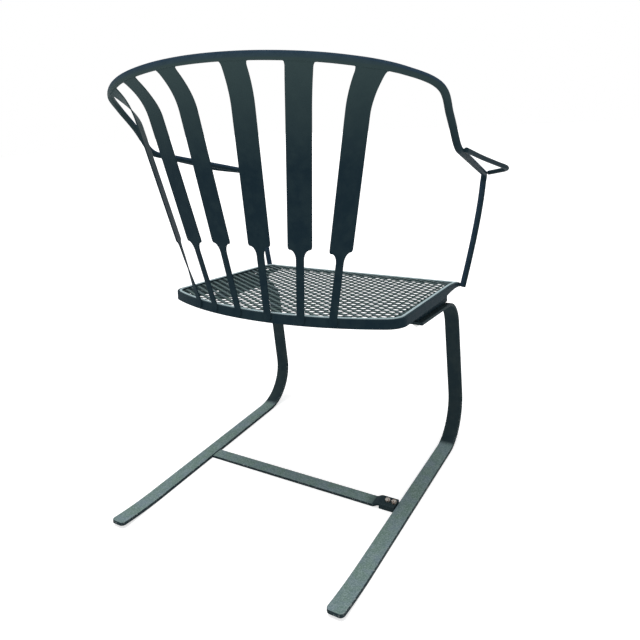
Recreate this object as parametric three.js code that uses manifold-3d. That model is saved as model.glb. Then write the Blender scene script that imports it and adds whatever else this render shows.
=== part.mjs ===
import * as THREE from 'three';
import { mergeVertices } from 'three/addons/utils/BufferGeometryUtils.js';
import Module from 'manifold-3d';

const wasm = await Module();
wasm.setup();

// Lengths are in millimetres, +Z is up, the sitter faces -Y and X = 0 is the middle plane.

// Clearances
const fit_gap = 0.3;
const bolt_play = 0.35;
const cut_overrun = 4;

// Spring legs: one flat bar per side, bent like a C that opens rearwards
const bar_width = 34;
const bar_thickness = 5;
const bar_chamfer = 0.8;
const leg_spacing = 511;
const runner_tip_y = 458;
const runner_rise_length = 118;
const runner_tip_rise = 7;
const leg_front_y = -185;
const lower_bend_radius = 101;
const upright_lean = 0.07;
const upper_bend_drop = 51.5;
const upper_bend_radius = 40;
const arm_rear_y = 65;
const split_share = 0.5;
const lower_bend_steps = 14;
const upper_bend_steps = 12;
const tip_steps = 6;

// Crossbar between the runners, with its bolted end on a lug
const crossbar_y = 156;
const crossbar_width = 30;
const crossbar_thickness = 5;
const lug_length = 34;
const joggle_length = 16;
const crossbar_bolt_diameter = 6;
const crossbar_bolt_spacing = 14;
const crossbar_nut_flats = 10;
const crossbar_nut_height = 5;

// Seat pan: flat bar on edge round the rim, a rod inside it, and the net
const seat_pitch = 0.0925;
const seat_height = 412.5;
const seat_front_y = -203;
const seat_rear_y = 266;
const seat_front_overhang = 27;
const seat_rear_overhang = 57;
const seat_front_width = leg_spacing + seat_front_overhang;
const seat_rear_width = leg_spacing + seat_rear_overhang;
const rear_arc_radius = 560;
const front_corner_radius = 16;
const rear_corner_radius = 46;
const band_height = 19;
const band_thickness = 4;
const rim_diameter = 6;
const dip_length = 90;
const dip_depth = 8;
const net_thickness = 1.6;
const strand_width = 3.2;
const net_pitch_x = 57;
const net_pitch_y = 29;
const net_margin = 5;
const smallest_gap_share = 0.22;
const shortest_side_share = 0.25;
const plate_end_share = 0.1;

// Bearers under the net, spacers and bolts that hold the seat to the spring arms
const bearer_width = 20;
const bearer_thickness = 5;
const bearer_offset = 6.5;
const seat_bolt_diameter = 8;
const seat_nut_flats = 13;
const seat_nut_height = 6.5;
const seat_head_height = 5.3;
const washer_diameter = 18;
const washer_thickness = 1.6;
const spacer_diameter = 18;
const seat_bolt_rear_inset = 26;
const seat_bolt_spacing = 140;
const thread_length = 3;

// Back rail, which runs on into the arms and the front posts
const rail_diameter = 13;
const rail_flat_height = 17.5;
const rail_flat_thickness = 9;
const rail_flat_length = 345;
const rail_taper_length = 130;
const elbow_trim = 24;
const post_bend_trim = 20;
const back_steps = 26;
const bend_steps = 6;
const rail_sides = 12;
const rail_squareness = 1.4;

// Named places on one half of the rail in the seat's own frame, x outwards from the middle
const rail_half_width = 371;
const rail_reach = 410;
const rail_height = 471;
const elbow_y = 145;
const elbow_height = 312;
const post_top_x = 322.5;
const post_top_y = -199;
const post_top_height = 251;
const post_foot_height = -15;
const post_gap = 0.45;
const post_foot_angle = 0.17;

// Slats
const slat_width = 44.5;
const slat_neck_width = 15.5;
const slat_thickness = 3;
const slat_lap = 15;
const shoulder_height = 118;
const shoulder_length = 20;
const shoulder_round = 7;
const slat_flare_height_share = 0.83;
const slat_flare_reach_share = 0.7;
const slat_bow_share = 0.8;
const lap_tip_share = 0.12;
const inner_foot_x = 35.2;
const middle_foot_x = 99.8;
const outer_foot_x = 160.8;
const inner_top_x = 75.2;
const middle_top_x = 187.9;
const outer_top_x = 288.1;
const slat_foot_x = [inner_foot_x, middle_foot_x, outer_foot_x];
const slat_top_x = [inner_top_x, middle_top_x, outer_top_x];
const slat_face_angle = [0.157, 0.265, 0.98];
const slat_top_gap = 0.7;
const slat_top_blend = 40;

// Arm loops
const loop_rod_diameter = 9.5;
const loop_nose_x = 397;
const loop_nose_y = -92;
const loop_front_y = -178;
const loop_back_y = 133;
const loop_steps = 30;
const loop_sides = 8;
const loop_rear_out_shares = [0.22, 0.72];
const loop_rear_run_shares = [0.4, 0.8];
const loop_front_in_shares = [0.12, 0.5];
const loop_front_run_shares = [0.3, 0.62];

const paint = { color: '#1b282c', roughness: 0.45, metalness: 0.2 };
const net_paint = { color: '#39474b', roughness: 0.5, metalness: 0.2 };
const zinc = { color: '#b4b8b8', roughness: 0.35, metalness: 0.85 };

// Helpers for closed bodies
function signedVolume(positions, indices) {
  let volume = 0;
  for (let i = 0; i < indices.length; i += 3) {
    const a = positions[indices[i]];
    const b = positions[indices[i + 1]];
    const c = positions[indices[i + 2]];
    volume += a.dot(b.clone().cross(c));
  }
  return volume;
}

function closedGeometry(positions, indices) {
  const faces = indices.slice();
  if (signedVolume(positions, faces) < 0) {
    for (let i = 0; i < faces.length; i += 3) {
      [faces[i], faces[i + 1]] = [faces[i + 1], faces[i]];
    }
  }
  const geometry = new THREE.BufferGeometry();
  const flat = positions.flatMap((p) => [p.x, p.y, p.z]);
  geometry.setAttribute('position', new THREE.Float32BufferAttribute(flat, 3));
  geometry.setIndex(faces);
  geometry.computeVertexNormals();
  return geometry;
}

// Rings of points, each with the same count, joined into a bar with capped ends or into a closed hoop
function loft(rings, hoop = false) {
  const count = rings[0].length;
  const positions = rings.flat();
  const indices = [];
  const spans = hoop ? rings.length : rings.length - 1;
  for (let i = 0; i < spans; i += 1) {
    const here = i * count;
    const next = ((i + 1) % rings.length) * count;
    for (let k = 0; k < count; k += 1) {
      const l = (k + 1) % count;
      indices.push(here + k, here + l, next + l, here + k, next + l, next + k);
    }
  }
  if (!hoop) {
    const last = (rings.length - 1) * count;
    for (let k = 1; k < count - 1; k += 1) {
      indices.push(0, k + 1, k, last, last + k, last + k + 1);
    }
  }
  return closedGeometry(positions, indices);
}

function ringAt(centre, side, up, section) {
  return section.map(([a, b]) => centre.clone().addScaledVector(side, a).addScaledVector(up, b));
}

function toManifold(geometry) {
  const clean = geometry.clone();
  clean.deleteAttribute('normal');
  clean.deleteAttribute('uv');
  const merged = mergeVertices(clean);
  const vertProperties = new Float32Array(merged.attributes.position.array);
  const triVerts = new Uint32Array(merged.index.array);
  return new wasm.Manifold(new wasm.Mesh({ numProp: 3, vertProperties, triVerts }));
}

function fromManifold(body) {
  const mesh = body.getMesh();
  const geometry = new THREE.BufferGeometry();
  geometry.setAttribute('position', new THREE.Float32BufferAttribute(mesh.vertProperties, 3));
  geometry.setIndex(Array.from(mesh.triVerts));
  geometry.computeVertexNormals();
  return geometry;
}

function drill(geometry, cutters) {
  let body = toManifold(geometry);
  for (const cutter of cutters) {
    body = body.subtract(toManifold(cutter));
  }
  return fromManifold(body);
}

function joined(geometries) {
  let body = toManifold(geometries[0]);
  for (const other of geometries.slice(1)) {
    body = body.add(toManifold(other));
  }
  return fromManifold(body);
}

// Upright prism with n sides between two heights
function prism(x, y, radius, bottom, top, sides, turn = 0) {
  const level = (z) => Array.from({ length: sides }, (_, k) => {
    const angle = turn + (2 * Math.PI * k) / sides;
    return new THREE.Vector3(x + radius * Math.cos(angle), y + radius * Math.sin(angle), z);
  });
  return loft([level(bottom), level(top)]);
}

function hexNut(x, y, flats, bottom, top) {
  return prism(x, y, flats / Math.sqrt(3), bottom, top, 6, Math.PI / 6);
}

function washer(x, y, outer, inner, bottom, top) {
  const over = Math.abs(top - bottom);
  return drill(prism(x, y, outer / 2, bottom, top, 16), [prism(x, y, inner / 2, bottom - over, top + over, 12)]);
}

// Side view of a leg: points on the outer face with the inward normal, from the runner's tip upwards
function legLine() {
  const line = [];
  const rise_y = runner_tip_y - runner_rise_length;
  for (let i = 0; i <= tip_steps; i += 1) {
    const t = 1 - i / tip_steps;
    const slope = (2 * t * runner_tip_rise) / runner_rise_length;
    const normal = new THREE.Vector3(0, -slope, 1).normalize();
    const point = new THREE.Vector3(0, rise_y + t * runner_rise_length, runner_tip_rise * t * t);
    line.push({ point, normal });
  }
  const centre_y = leg_front_y + lower_bend_radius;
  const upright_angle = Math.PI / 2 + upright_lean;
  const normalAt = (angle) => new THREE.Vector3(0, Math.sin(angle), Math.cos(angle));
  for (let i = 0; i <= lower_bend_steps; i += 1) {
    const normal = normalAt((upright_angle * i) / lower_bend_steps);
    const point = new THREE.Vector3(0, centre_y, lower_bend_radius).addScaledVector(normal, -lower_bend_radius);
    line.push({ point, normal });
  }
  return line;
}

function uprightEnds() {
  const lower = legLine().at(-1);
  const up = new THREE.Vector3(0, Math.sin(upright_lean), Math.cos(upright_lean));
  const bend_centre_z = seat_height - upper_bend_drop - upper_bend_radius;
  const length = (bend_centre_z - lower.point.z - upper_bend_radius * lower.normal.z) / up.z;
  const top = lower.point.clone().addScaledVector(up, length);
  return { bottom: lower.point, top, normal: lower.normal, up, length };
}

function upperLine() {
  const { top, normal } = uprightEnds();
  const centre = top.clone().addScaledVector(normal, upper_bend_radius);
  const start = Math.PI / 2 + upright_lean;
  const end = Math.PI - seat_pitch;
  const line = [];
  for (let i = 0; i <= upper_bend_steps; i += 1) {
    const angle = start + ((end - start) * i) / upper_bend_steps;
    const n = new THREE.Vector3(0, Math.sin(angle), Math.cos(angle));
    line.push({ point: centre.clone().addScaledVector(n, -upper_bend_radius), normal: n });
  }
  const last = line.at(-1);
  const run = arm_rear_y - last.point.y;
  const rear = new THREE.Vector3(0, arm_rear_y, last.point.z + run * Math.tan(seat_pitch));
  line.push({ point: rear, normal: last.normal.clone() });
  return line;
}

function barSection() {
  const w = bar_width / 2;
  const c = bar_chamfer;
  const t = bar_thickness;
  return [[-w, c], [-w + c, 0], [w - c, 0], [w, c], [w, t - c], [w - c, t], [-w + c, t], [-w, t - c]];
}

function bar(line, x) {
  const across = new THREE.Vector3(1, 0, 0);
  const section = barSection();
  return loft(line.map(({ point, normal }) => ringAt(point.clone().setX(x), across, normal, section)));
}

function splitPoint(offset) {
  const { bottom, normal, up, length } = uprightEnds();
  return { point: bottom.clone().addScaledVector(up, length * split_share + offset), normal };
}

function springLower(x) {
  return bar([...legLine(), splitPoint(-fit_gap / 2)], x);
}

function springUpper(x) {
  const solid = bar([splitPoint(fit_gap / 2), ...upperLine()], x);
  const bolt_x = Math.sign(x) * bearerX();
  const holes = seatBoltPlaces().map((y) => {
    const radius = seat_bolt_diameter / 2 + bolt_play;
    const low = armTopInSeat() - bar_thickness - cut_overrun;
    return fromSeat(prism(bolt_x, y, radius, low, armTopInSeat() + cut_overrun, 12));
  });
  return drill(solid, holes);
}

// The seat's own frame: level, origin on the pan's top plane at X = 0, Y = 0
function seatMatrix() {
  const matrix = new THREE.Matrix4().makeRotationX(seat_pitch);
  return matrix.setPosition(0, 0, seat_height);
}

function fromSeat(geometry) {
  return geometry.clone().applyMatrix4(seatMatrix());
}

function intoSeat(point) {
  return point.clone().applyMatrix4(seatMatrix().invert());
}

function armTopInSeat() {
  return intoSeat(upperLine().at(-1).point).z;
}

function armRearInSeat() {
  return intoSeat(upperLine().at(-1).point).y;
}

function seatBoltPlaces() {
  const rear = armRearInSeat() - seat_bolt_rear_inset;
  return [rear, rear - seat_bolt_spacing];
}

function bearerX() {
  return leg_spacing / 2 - bearer_offset;
}

// Outline of the pan: half from the middle of the front to the middle of the rear, as points with normals
function arcPoints(centre, radius, from, to, steps) {
  return Array.from({ length: steps + 1 }, (_, i) => {
    const angle = from + ((to - from) * i) / steps;
    const normal = new THREE.Vector2(Math.sin(angle), Math.cos(angle));
    return { point: centre.clone().addScaledVector(normal, radius), normal };
  });
}

function panSide() {
  const front = new THREE.Vector2(seat_front_width / 2, seat_front_y);
  const lean = Math.atan((seat_rear_width - seat_front_width) / 2 / (seat_rear_y - seat_front_y));
  const normal = new THREE.Vector2(Math.cos(lean), -Math.sin(lean));
  return { front, lean, normal };
}

function frontCorner() {
  const { front, lean } = panSide();
  const y = seat_front_y + front_corner_radius;
  const side_x = front.x + (y - front.y) * Math.tan(lean);
  return new THREE.Vector2(side_x - front_corner_radius / Math.cos(lean), y);
}

function panHalf() {
  const { front, lean, normal } = panSide();
  const half = [{ point: new THREE.Vector2(0, seat_front_y), normal: new THREE.Vector2(0, -1) }];
  // front corner, touching the front line and the side line
  const side_x = (y) => front.x + (y - front.y) * Math.tan(lean);
  const side_angle = Math.PI / 2 + lean;
  half.push(...arcPoints(frontCorner(), front_corner_radius, Math.PI, side_angle, 6));
  // rear corner, touching the side line and the big rear arc
  const arc_centre_y = seat_rear_y - rear_arc_radius;
  const inner = rear_arc_radius - rear_corner_radius;
  let cy = seat_rear_y - rear_corner_radius;
  let cx = 0;
  for (let i = 0; i < 40; i += 1) {
    cx = side_x(cy) - rear_corner_radius / Math.cos(lean);
    cy = arc_centre_y + Math.sqrt(inner * inner - cx * cx);
  }
  const corner = new THREE.Vector2(cx, cy);
  const meet = Math.atan2(cx, cy - arc_centre_y);
  const start = half.at(-1).point;
  const corner_points = arcPoints(corner, rear_corner_radius, side_angle, meet, 7);
  const end = corner_points[0].point;
  const side_steps = 9;
  for (let i = 1; i < side_steps; i += 1) {
    half.push({ point: start.clone().lerp(end, i / side_steps), normal: normal.clone() });
  }
  half.push(...corner_points);
  half.push(...arcPoints(new THREE.Vector2(0, arc_centre_y), rear_arc_radius, meet, 0, 8).slice(1));
  return half;
}

function panOutline(inset) {
  const half = panHalf();
  const mirror = half.slice(1, -1).reverse().map(({ point, normal }) => ({
    point: new THREE.Vector2(-point.x, point.y),
    normal: new THREE.Vector2(-normal.x, normal.y),
  }));
  return [...half, ...mirror].map(({ point, normal }) => ({
    point: point.clone().addScaledVector(normal, -inset),
    normal,
  }));
}

function dip(y) {
  const t = (seat_front_y + dip_length - y) / dip_length;
  return t > 0 ? -dip_depth * t * t : 0;
}

function hoopAlong(inset, section) {
  const up = new THREE.Vector3(0, 0, 1);
  const rings = panOutline(inset).map(({ point, normal }) => {
    const inward = new THREE.Vector3(-normal.x, -normal.y, 0);
    const centre = new THREE.Vector3(point.x, point.y, 0);
    return ringAt(centre, inward, up, section).map((p) => p.setZ(p.z + dip(point.y)));
  });
  return loft(rings, true);
}

function seatBand() {
  const t = band_thickness;
  return hoopAlong(0, [[0, 0], [t, 0], [t, -band_height], [0, -band_height]]);
}

function seatRim() {
  const r = rim_diameter / 2;
  const section = Array.from({ length: 8 }, (_, k) => {
    const angle = Math.PI / 8 + (Math.PI * k) / 4;
    return [r * Math.cos(angle), r * Math.sin(angle) - r];
  });
  return hoopAlong(band_thickness + fit_gap + r, section);
}

// Part of a convex polygon that lies inside a convex outline
function clipInside(polygon, outline) {
  let kept = polygon;
  for (let i = 0; i < outline.length && kept.length > 0; i += 1) {
    const a = outline[i];
    const b = outline[(i + 1) % outline.length];
    const side = (p) => (b.x - a.x) * (p.y - a.y) - (b.y - a.y) * (p.x - a.x);
    const next = [];
    for (let k = 0; k < kept.length; k += 1) {
      const p = kept[k];
      const q = kept[(k + 1) % kept.length];
      const sp = side(p);
      const sq = side(q);
      if (sp >= 0) next.push(p);
      if (sp * sq < 0) next.push(p.clone().lerp(q, sp / (sp - sq)));
    }
    kept = next;
  }
  const apart = strand_width * shortest_side_share;
  return kept.filter((p, k) => p.distanceTo(kept[(k + 1) % kept.length]) > apart);
}

// Several closed bodies that don't touch, as one geometry
function gathered(geometries) {
  const positions = [];
  const indices = [];
  for (const { attributes, index } of geometries) {
    const start = positions.length;
    for (let i = 0; i < attributes.position.count; i += 1) {
      positions.push(new THREE.Vector3().fromBufferAttribute(attributes.position, i));
    }
    indices.push(...Array.from(index.array, (i) => i + start));
  }
  return closedGeometry(positions, indices);
}

// Thin plate that fills the rim and dips with it towards the front
function netPlate(inset) {
  const half = panOutline(inset).slice(0, panHalf().length).map(({ point }) => point);
  const line = half.slice(1, -1);
  const last = half.at(-1);
  line.push(last.clone().lerp(line.at(-1), plate_end_share));
  const centre = -rim_diameter / 2;
  const h = net_thickness / 2;
  return loft(line.map(({ x, y }) => {
    const z = centre + dip(y);
    return [[-x, -h], [x, -h], [x, h], [-x, h]].map(([px, pz]) => new THREE.Vector3(px, y, z + pz));
  }));
}

function netGaps(field) {
  const reach_x = net_pitch_x / 2 - strand_width * Math.hypot(net_pitch_x, net_pitch_y) / net_pitch_y / 2;
  const reach_y = (reach_x * net_pitch_y) / net_pitch_x;
  const full = 2 * reach_x * reach_y;
  const rows = Math.ceil((seat_rear_y - seat_front_y) / net_pitch_y) * 2;
  const columns = Math.ceil(seat_rear_width / net_pitch_x);
  const gaps = [];
  for (let row = -rows; row <= rows; row += 1) {
    for (let column = -columns; column <= columns; column += 1) {
      const x = (column + (row % 2 === 0 ? 0 : 1 / 2)) * net_pitch_x;
      const y = (row * net_pitch_y) / 2;
      const diamond = [[-reach_x, 0], [0, -reach_y], [reach_x, 0], [0, reach_y]];
      const gap = clipInside(diamond.map(([a, b]) => new THREE.Vector2(x + a, y + b)), field);
      if (gap.length > 2 && THREE.ShapeUtils.area(gap) > full * smallest_gap_share) gaps.push(gap);
    }
  }
  return gaps;
}

function seatMesh() {
  const edge_inset = band_thickness + fit_gap + rim_diameter + fit_gap;
  const field = panOutline(edge_inset + net_margin).map(({ point }) => point);
  const bottom = -rim_diameter - dip_depth - cut_overrun;
  const cutters = netGaps(field).map((gap) => loft([bottom, cut_overrun].map((z) => {
    return gap.map((p) => new THREE.Vector3(p.x, p.y, z));
  })));
  return drill(netPlate(edge_inset), [gathered(cutters)]);
}

// Front and rear lines of the pan's inside face at a distance from the middle
function insideEnds(x, inset) {
  const half = panOutline(inset).slice(0, panHalf().length).map(({ point }) => point);
  const crossings = [];
  for (let i = 1; i < half.length; i += 1) {
    const a = half[i - 1];
    const b = half[i];
    const inside = (x - a.x) * (x - b.x) <= 0 && a.x !== b.x;
    if (inside) crossings.push(a.y + ((b.y - a.y) * (x - a.x)) / (b.x - a.x));
  }
  return { front: Math.min(...crossings), rear: Math.max(...crossings) };
}

function bearer(side) {
  const outer_x = bearerX() + bearer_width / 2;
  const { front, rear } = insideEnds(outer_x, band_thickness + fit_gap);
  const middle = (rear + front) / 2;
  const box = new THREE.BoxGeometry(bearer_width, rear - front, bearer_thickness);
  const z = -band_height + bearer_thickness / 2;
  box.translate(side * bearerX(), middle, z);
  const radius = seat_bolt_diameter / 2 + bolt_play;
  const holes = seatBoltPlaces().map((y) => {
    return prism(side * bearerX(), y, radius, -band_height - cut_overrun, cut_overrun - band_height + bearer_thickness, 12);
  });
  return drill(box, holes);
}

function spacer(side, y) {
  const bore = seat_bolt_diameter + 2 * bolt_play;
  return washer(side * bearerX(), y, spacer_diameter, bore, armTopInSeat() + fit_gap, -band_height - fit_gap);
}

function seatBolt(side, y) {
  const x = side * bearerX();
  const head_bottom = -band_height + bearer_thickness + fit_gap;
  const shank_bottom = armTopInSeat() - bar_thickness - washer_thickness - seat_nut_height - thread_length;
  const shank = prism(x, y, seat_bolt_diameter / 2, shank_bottom, head_bottom + fit_gap, 12);
  return joined([shank, hexNut(x, y, seat_nut_flats, head_bottom, head_bottom + seat_head_height)]);
}

function seatWasher(side, y) {
  const top = armTopInSeat() - bar_thickness - fit_gap;
  const bore = seat_bolt_diameter + 2 * bolt_play;
  return washer(side * bearerX(), y, washer_diameter, bore, top - washer_thickness, top);
}

function seatNut(side, y) {
  const x = side * bearerX();
  const top = armTopInSeat() - bar_thickness - washer_thickness - 2 * fit_gap;
  const bottom = top - seat_nut_height;
  const bore = seat_bolt_diameter / 2 + bolt_play;
  return drill(hexNut(x, y, seat_nut_flats, bottom, top), [prism(x, y, bore, bottom - cut_overrun, top + cut_overrun, 12)]);
}

// Crossbar parts. The left end meets the left runner, the right end steps up onto the lug of the right one
function crossbarEnds() {
  const inner = leg_spacing / 2 - bar_width / 2;
  return { left: inner - fit_gap, right: -inner + fit_gap };
}

function crossbarBoltPlaces() {
  const { right } = crossbarEnds();
  const middle = right + lug_length / 2;
  return [middle - crossbar_bolt_spacing / 2, middle + crossbar_bolt_spacing / 2];
}

function crossbarLug() {
  const { right } = crossbarEnds();
  const box = new THREE.BoxGeometry(lug_length, crossbar_width, crossbar_thickness);
  box.translate(right + lug_length / 2, crossbar_y, crossbar_thickness / 2);
  const holes = crossbarBoltPlaces().map((x) => {
    const radius = crossbar_bolt_diameter / 2 + bolt_play;
    return prism(x, crossbar_y, radius, -cut_overrun, crossbar_thickness + cut_overrun, 12);
  });
  return drill(box, holes);
}

function crossbar() {
  const { left, right } = crossbarEnds();
  const raised = crossbar_thickness + fit_gap;
  const foot = right + lug_length + fit_gap;
  const w = crossbar_width / 2;
  const t = crossbar_thickness;
  const line = [[left, 0], [foot + joggle_length, 0], [foot, raised], [right, raised]];
  const rings = line.map(([x, z]) => [
    new THREE.Vector3(x, crossbar_y - w, z),
    new THREE.Vector3(x, crossbar_y + w, z),
    new THREE.Vector3(x, crossbar_y + w, z + t),
    new THREE.Vector3(x, crossbar_y - w, z + t),
  ]);
  const holes = crossbarBoltPlaces().map((x) => {
    const radius = crossbar_bolt_diameter / 2 + bolt_play;
    return prism(x, crossbar_y, radius, -cut_overrun, raised + t + cut_overrun, 12);
  });
  return drill(loft(rings), holes);
}

function crossbarBolt(x) {
  const top = 2 * crossbar_thickness + 2 * fit_gap + crossbar_nut_height + fit_gap;
  return prism(x, crossbar_y, crossbar_bolt_diameter / 2, fit_gap, top, 12);
}

function crossbarNut(x) {
  const bottom = 2 * crossbar_thickness + 2 * fit_gap;
  const top = bottom + crossbar_nut_height;
  const bore = crossbar_bolt_diameter / 2 + bolt_play;
  const nut = hexNut(x, crossbar_y, crossbar_nut_flats, bottom, top);
  return drill(nut, [prism(x, crossbar_y, bore, bottom - cut_overrun, top + cut_overrun, 12)]);
}

// Back rail. Shares place the curve's points between the middle, the widest place and the elbow
const back_x_shares = [0, 0.35, 0.664, 0.892, 1, 1];
const back_y_shares = [1, 0.944, 0.811, 0.607, 0.379, 0.191];
const back_z_shares = [1, 0.975, 0.899, 0.779, 0.627, 0.352];

function railKnots() {
  const knots = back_x_shares.map((share, i) => new THREE.Vector3(
    share * rail_half_width,
    elbow_y + back_y_shares[i] * (rail_reach - elbow_y),
    elbow_height + back_z_shares[i] * (rail_height - elbow_height),
  ));
  knots.push(new THREE.Vector3(rail_half_width - fit_gap, elbow_y, elbow_height));
  return knots;
}

function postFoot() {
  const reach = front_corner_radius + rail_diameter / 2 + post_gap;
  const x = frontCorner().x + reach * Math.cos(post_foot_angle);
  const y = frontCorner().y - reach * Math.sin(post_foot_angle);
  return new THREE.Vector3(x, y, post_foot_height);
}

function postTop() {
  return new THREE.Vector3(post_top_x, post_top_y, post_top_height);
}

function backCurve() {
  const knots = railKnots();
  const mirrored = knots.slice(1).reverse().map((p) => new THREE.Vector3(-p.x, p.y, p.z));
  return new THREE.CatmullRomCurve3([...mirrored, ...knots], false, 'centripetal');
}

function bend(corner, before, after, trim) {
  const from = corner.clone().addScaledVector(before.clone().sub(corner).normalize(), trim);
  const to = corner.clone().addScaledVector(after.clone().sub(corner).normalize(), trim);
  return new THREE.QuadraticBezierCurve3(from, corner, to).getPoints(bend_steps);
}

// Centreline of one half of the rail, from the middle of the back to the post's foot
function railLine() {
  const curve = backCurve();
  const all = curve.getSpacedPoints(4 * back_steps).slice(2 * back_steps);
  const elbow = railKnots().at(-1);
  const upright = all.filter((p) => p.distanceTo(elbow) > elbow_trim);
  const spaced = upright.filter((_, i) => i % 2 === 0);
  const top = postTop();
  const foot = postFoot();
  return [...spaced, ...bend(elbow, spaced.at(-1), top, elbow_trim), ...bend(top, elbow, foot, post_bend_trim), foot];
}

// Frames carried along a line without twist, starting from a given side direction
function carriedFrames(points, first_side) {
  const frames = [];
  let side = first_side.clone();
  for (let i = 0; i < points.length; i += 1) {
    const before = points[Math.max(i - 1, 0)];
    const after = points[Math.min(i + 1, points.length - 1)];
    const along = after.clone().sub(before).normalize();
    if (i === 0 && points[0].x === 0) along.set(1, 0, 0);
    side = side.addScaledVector(along, -side.dot(along)).normalize().clone();
    const up = side.clone().cross(along).negate();
    frames.push({ point: points[i], along, side: side.clone(), up });
  }
  return frames;
}

function ease(t) {
  const s = Math.min(Math.max(t, 0), 1);
  return s * s * (3 - 2 * s);
}

// Section between a tall flat oval and a round, with power above two for squarer sides
function railSection(flatness) {
  const half_t = rail_diameter / 2 + (flatness * (rail_flat_thickness - rail_diameter)) / 2;
  const half_h = rail_diameter / 2 + (flatness * (rail_flat_height - rail_diameter)) / 2;
  const power = 2 / (2 + rail_squareness * flatness);
  return Array.from({ length: rail_sides }, (_, k) => {
    const angle = (2 * Math.PI * (k + 1 / 2)) / rail_sides;
    const c = Math.cos(angle);
    const s = Math.sin(angle);
    return [half_t * Math.sign(c) * Math.abs(c) ** power, half_h * Math.sign(s) * Math.abs(s) ** power];
  });
}

function backRail() {
  const points = railLine();
  const frames = carriedFrames(points, new THREE.Vector3(0, 1, 0));
  let travelled = 0;
  const half = frames.map(({ point, side, up }, i) => {
    if (i > 0) travelled += point.distanceTo(points[i - 1]);
    const flatness = 1 - ease((travelled - rail_flat_length) / rail_taper_length);
    return ringAt(point, side, up, railSection(flatness));
  });
  const mirrored = half.slice(1).reverse().map((ring) => ring.map((p) => new THREE.Vector3(-p.x, p.y, p.z)));
  return loft([...mirrored, ...half]);
}

// Underside of the rail above a distance from the middle, with its heading in plan and its slope
function railUnderside(x) {
  const points = railLine();
  const frames = carriedFrames(points, new THREE.Vector3(0, 1, 0));
  const i = points.findIndex((p, k) => k > 0 && p.x >= x);
  const a = points[i - 1];
  const b = points[i];
  const place = a.clone().lerp(b, (x - a.x) / (b.x - a.x));
  const along = points[i + 1].clone().sub(points[i - 2]).normalize();
  const plan = Math.hypot(along.x, along.y);
  const normal = new THREE.Vector3(0, 0, 1).addScaledVector(along, -along.z).normalize();
  const { side, up } = frames[i];
  const depths = railSection(1).map(([s, u]) => -(side.dot(normal) * s + up.dot(normal) * u));
  const z = place.z - (Math.max(...depths) + slat_top_gap) / normal.z;
  return { place: place.setZ(z), heading: Math.atan2(-along.y, along.x), slope: along.z / plan };
}

function bandAt(x) {
  const half = panHalf();
  for (let i = half.length - 1; i > 0; i -= 1) {
    const a = half[i];
    const b = half[i - 1];
    if (x >= a.point.x && x <= b.point.x) {
      const t = (x - a.point.x) / (b.point.x - a.point.x);
      return { point: a.point.clone().lerp(b.point, t), normal: a.normal.clone().lerp(b.normal, t).normalize() };
    }
  }
  return half.at(-1);
}

// Half-width of a slat at a height above the pan: neck, hollow shoulder, rounded corner, full width
function slatHalfWidth(z) {
  const neck = slat_neck_width / 2;
  const wide = slat_width / 2;
  const corner = wide - shoulder_round / 2;
  if (z <= 0) {
    const t = -z / slat_lap;
    return t < 1 / 2 ? neck : neck * Math.sqrt(Math.max(1 - (2 * t - 1) ** 2, lap_tip_share));
  }
  if (z < shoulder_height) return neck;
  const t = (z - shoulder_height) / shoulder_length;
  if (t < 1) return neck + (corner - neck) * (1 - Math.sqrt(1 - t * t));
  const u = Math.min((z - shoulder_height - shoulder_length) / shoulder_round, 1);
  return corner + (wide - corner) * Math.sqrt(1 - (1 - u) ** 2);
}

const lap_shares = [1, 0.93, 0.8, 0.62, 0.4, 0];
const neck_shares = [0.15, 0.4, 0.7, 0.9];
const shoulder_shares = [0, 0.4, 0.7, 0.88, 0.96, 1];
const round_shares = [0.15, 0.4, 0.7, 1];
const blade_shares = [0.1, 0.3, 0.5, 0.66, 0.74, 0.8, 0.86, 0.91, 0.96, 1];

function slat(index, side) {
  const foot_x = slat_foot_x[index];
  const band = bandAt(foot_x);
  const out = fit_gap + slat_thickness / 2;
  const foot = new THREE.Vector3(band.point.x + band.normal.x * out, band.point.y + band.normal.y * out, 0);
  const { place: top, heading, slope } = railUnderside(slat_top_x[index]);
  const knee = foot.clone().lerp(top, slat_flare_reach_share).setZ(top.z * slat_flare_height_share);
  const heights = [
    ...lap_shares.map((s) => -s * slat_lap),
    ...neck_shares.map((s) => s * shoulder_height),
    ...shoulder_shares.map((s) => shoulder_height + s * shoulder_length),
    ...round_shares.map((s) => shoulder_height + shoulder_length + s * shoulder_round),
  ];
  const blade_from = heights.at(-1);
  heights.push(...blade_shares.map((s) => blade_from + s * (top.z - blade_from)));
  const foot_angle = Math.atan2(band.normal.x, band.normal.y);
  const straight = knee.clone().sub(foot).divideScalar(knee.z);
  const soft = (top.z - knee.z) * slat_bow_share;
  const bow = top.clone().sub(foot).addScaledVector(straight, -top.z);
  const rings = heights.map((z) => {
    const point = z < 0 ? foot.clone().setZ(z) : foot.clone().addScaledVector(straight, z);
    const t = ease((z - knee.z + soft) / (top.z - knee.z + soft));
    const past = Math.max((z - knee.z + soft) / (top.z - knee.z + soft), 0);
    point.addScaledVector(bow, past * past);
    const lower = ease(z / shoulder_height);
    const angle = foot_angle + (slat_face_angle[index] - foot_angle) * lower
      + (heading - slat_face_angle[index]) * t;
    const normal = new THREE.Vector3(Math.sin(angle), Math.cos(angle), 0);
    const across = new THREE.Vector3(Math.cos(angle), -Math.sin(angle), 0);
    const w = slatHalfWidth(z);
    const h = slat_thickness / 2;
    const tilt = slope * ease(1 - (top.z - z) / slat_top_blend);
    const corners = [[-w, -h], [w, -h], [w, h], [-w, h]];
    const ring = ringAt(point, across, normal, corners);
    return ring.map((p, k) => p.setZ(p.z + tilt * corners[k][0]));
  });
  const placed = rings.map((ring) => ring.map((p) => p.setX(side * p.x)));
  return loft(placed);
}

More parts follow.
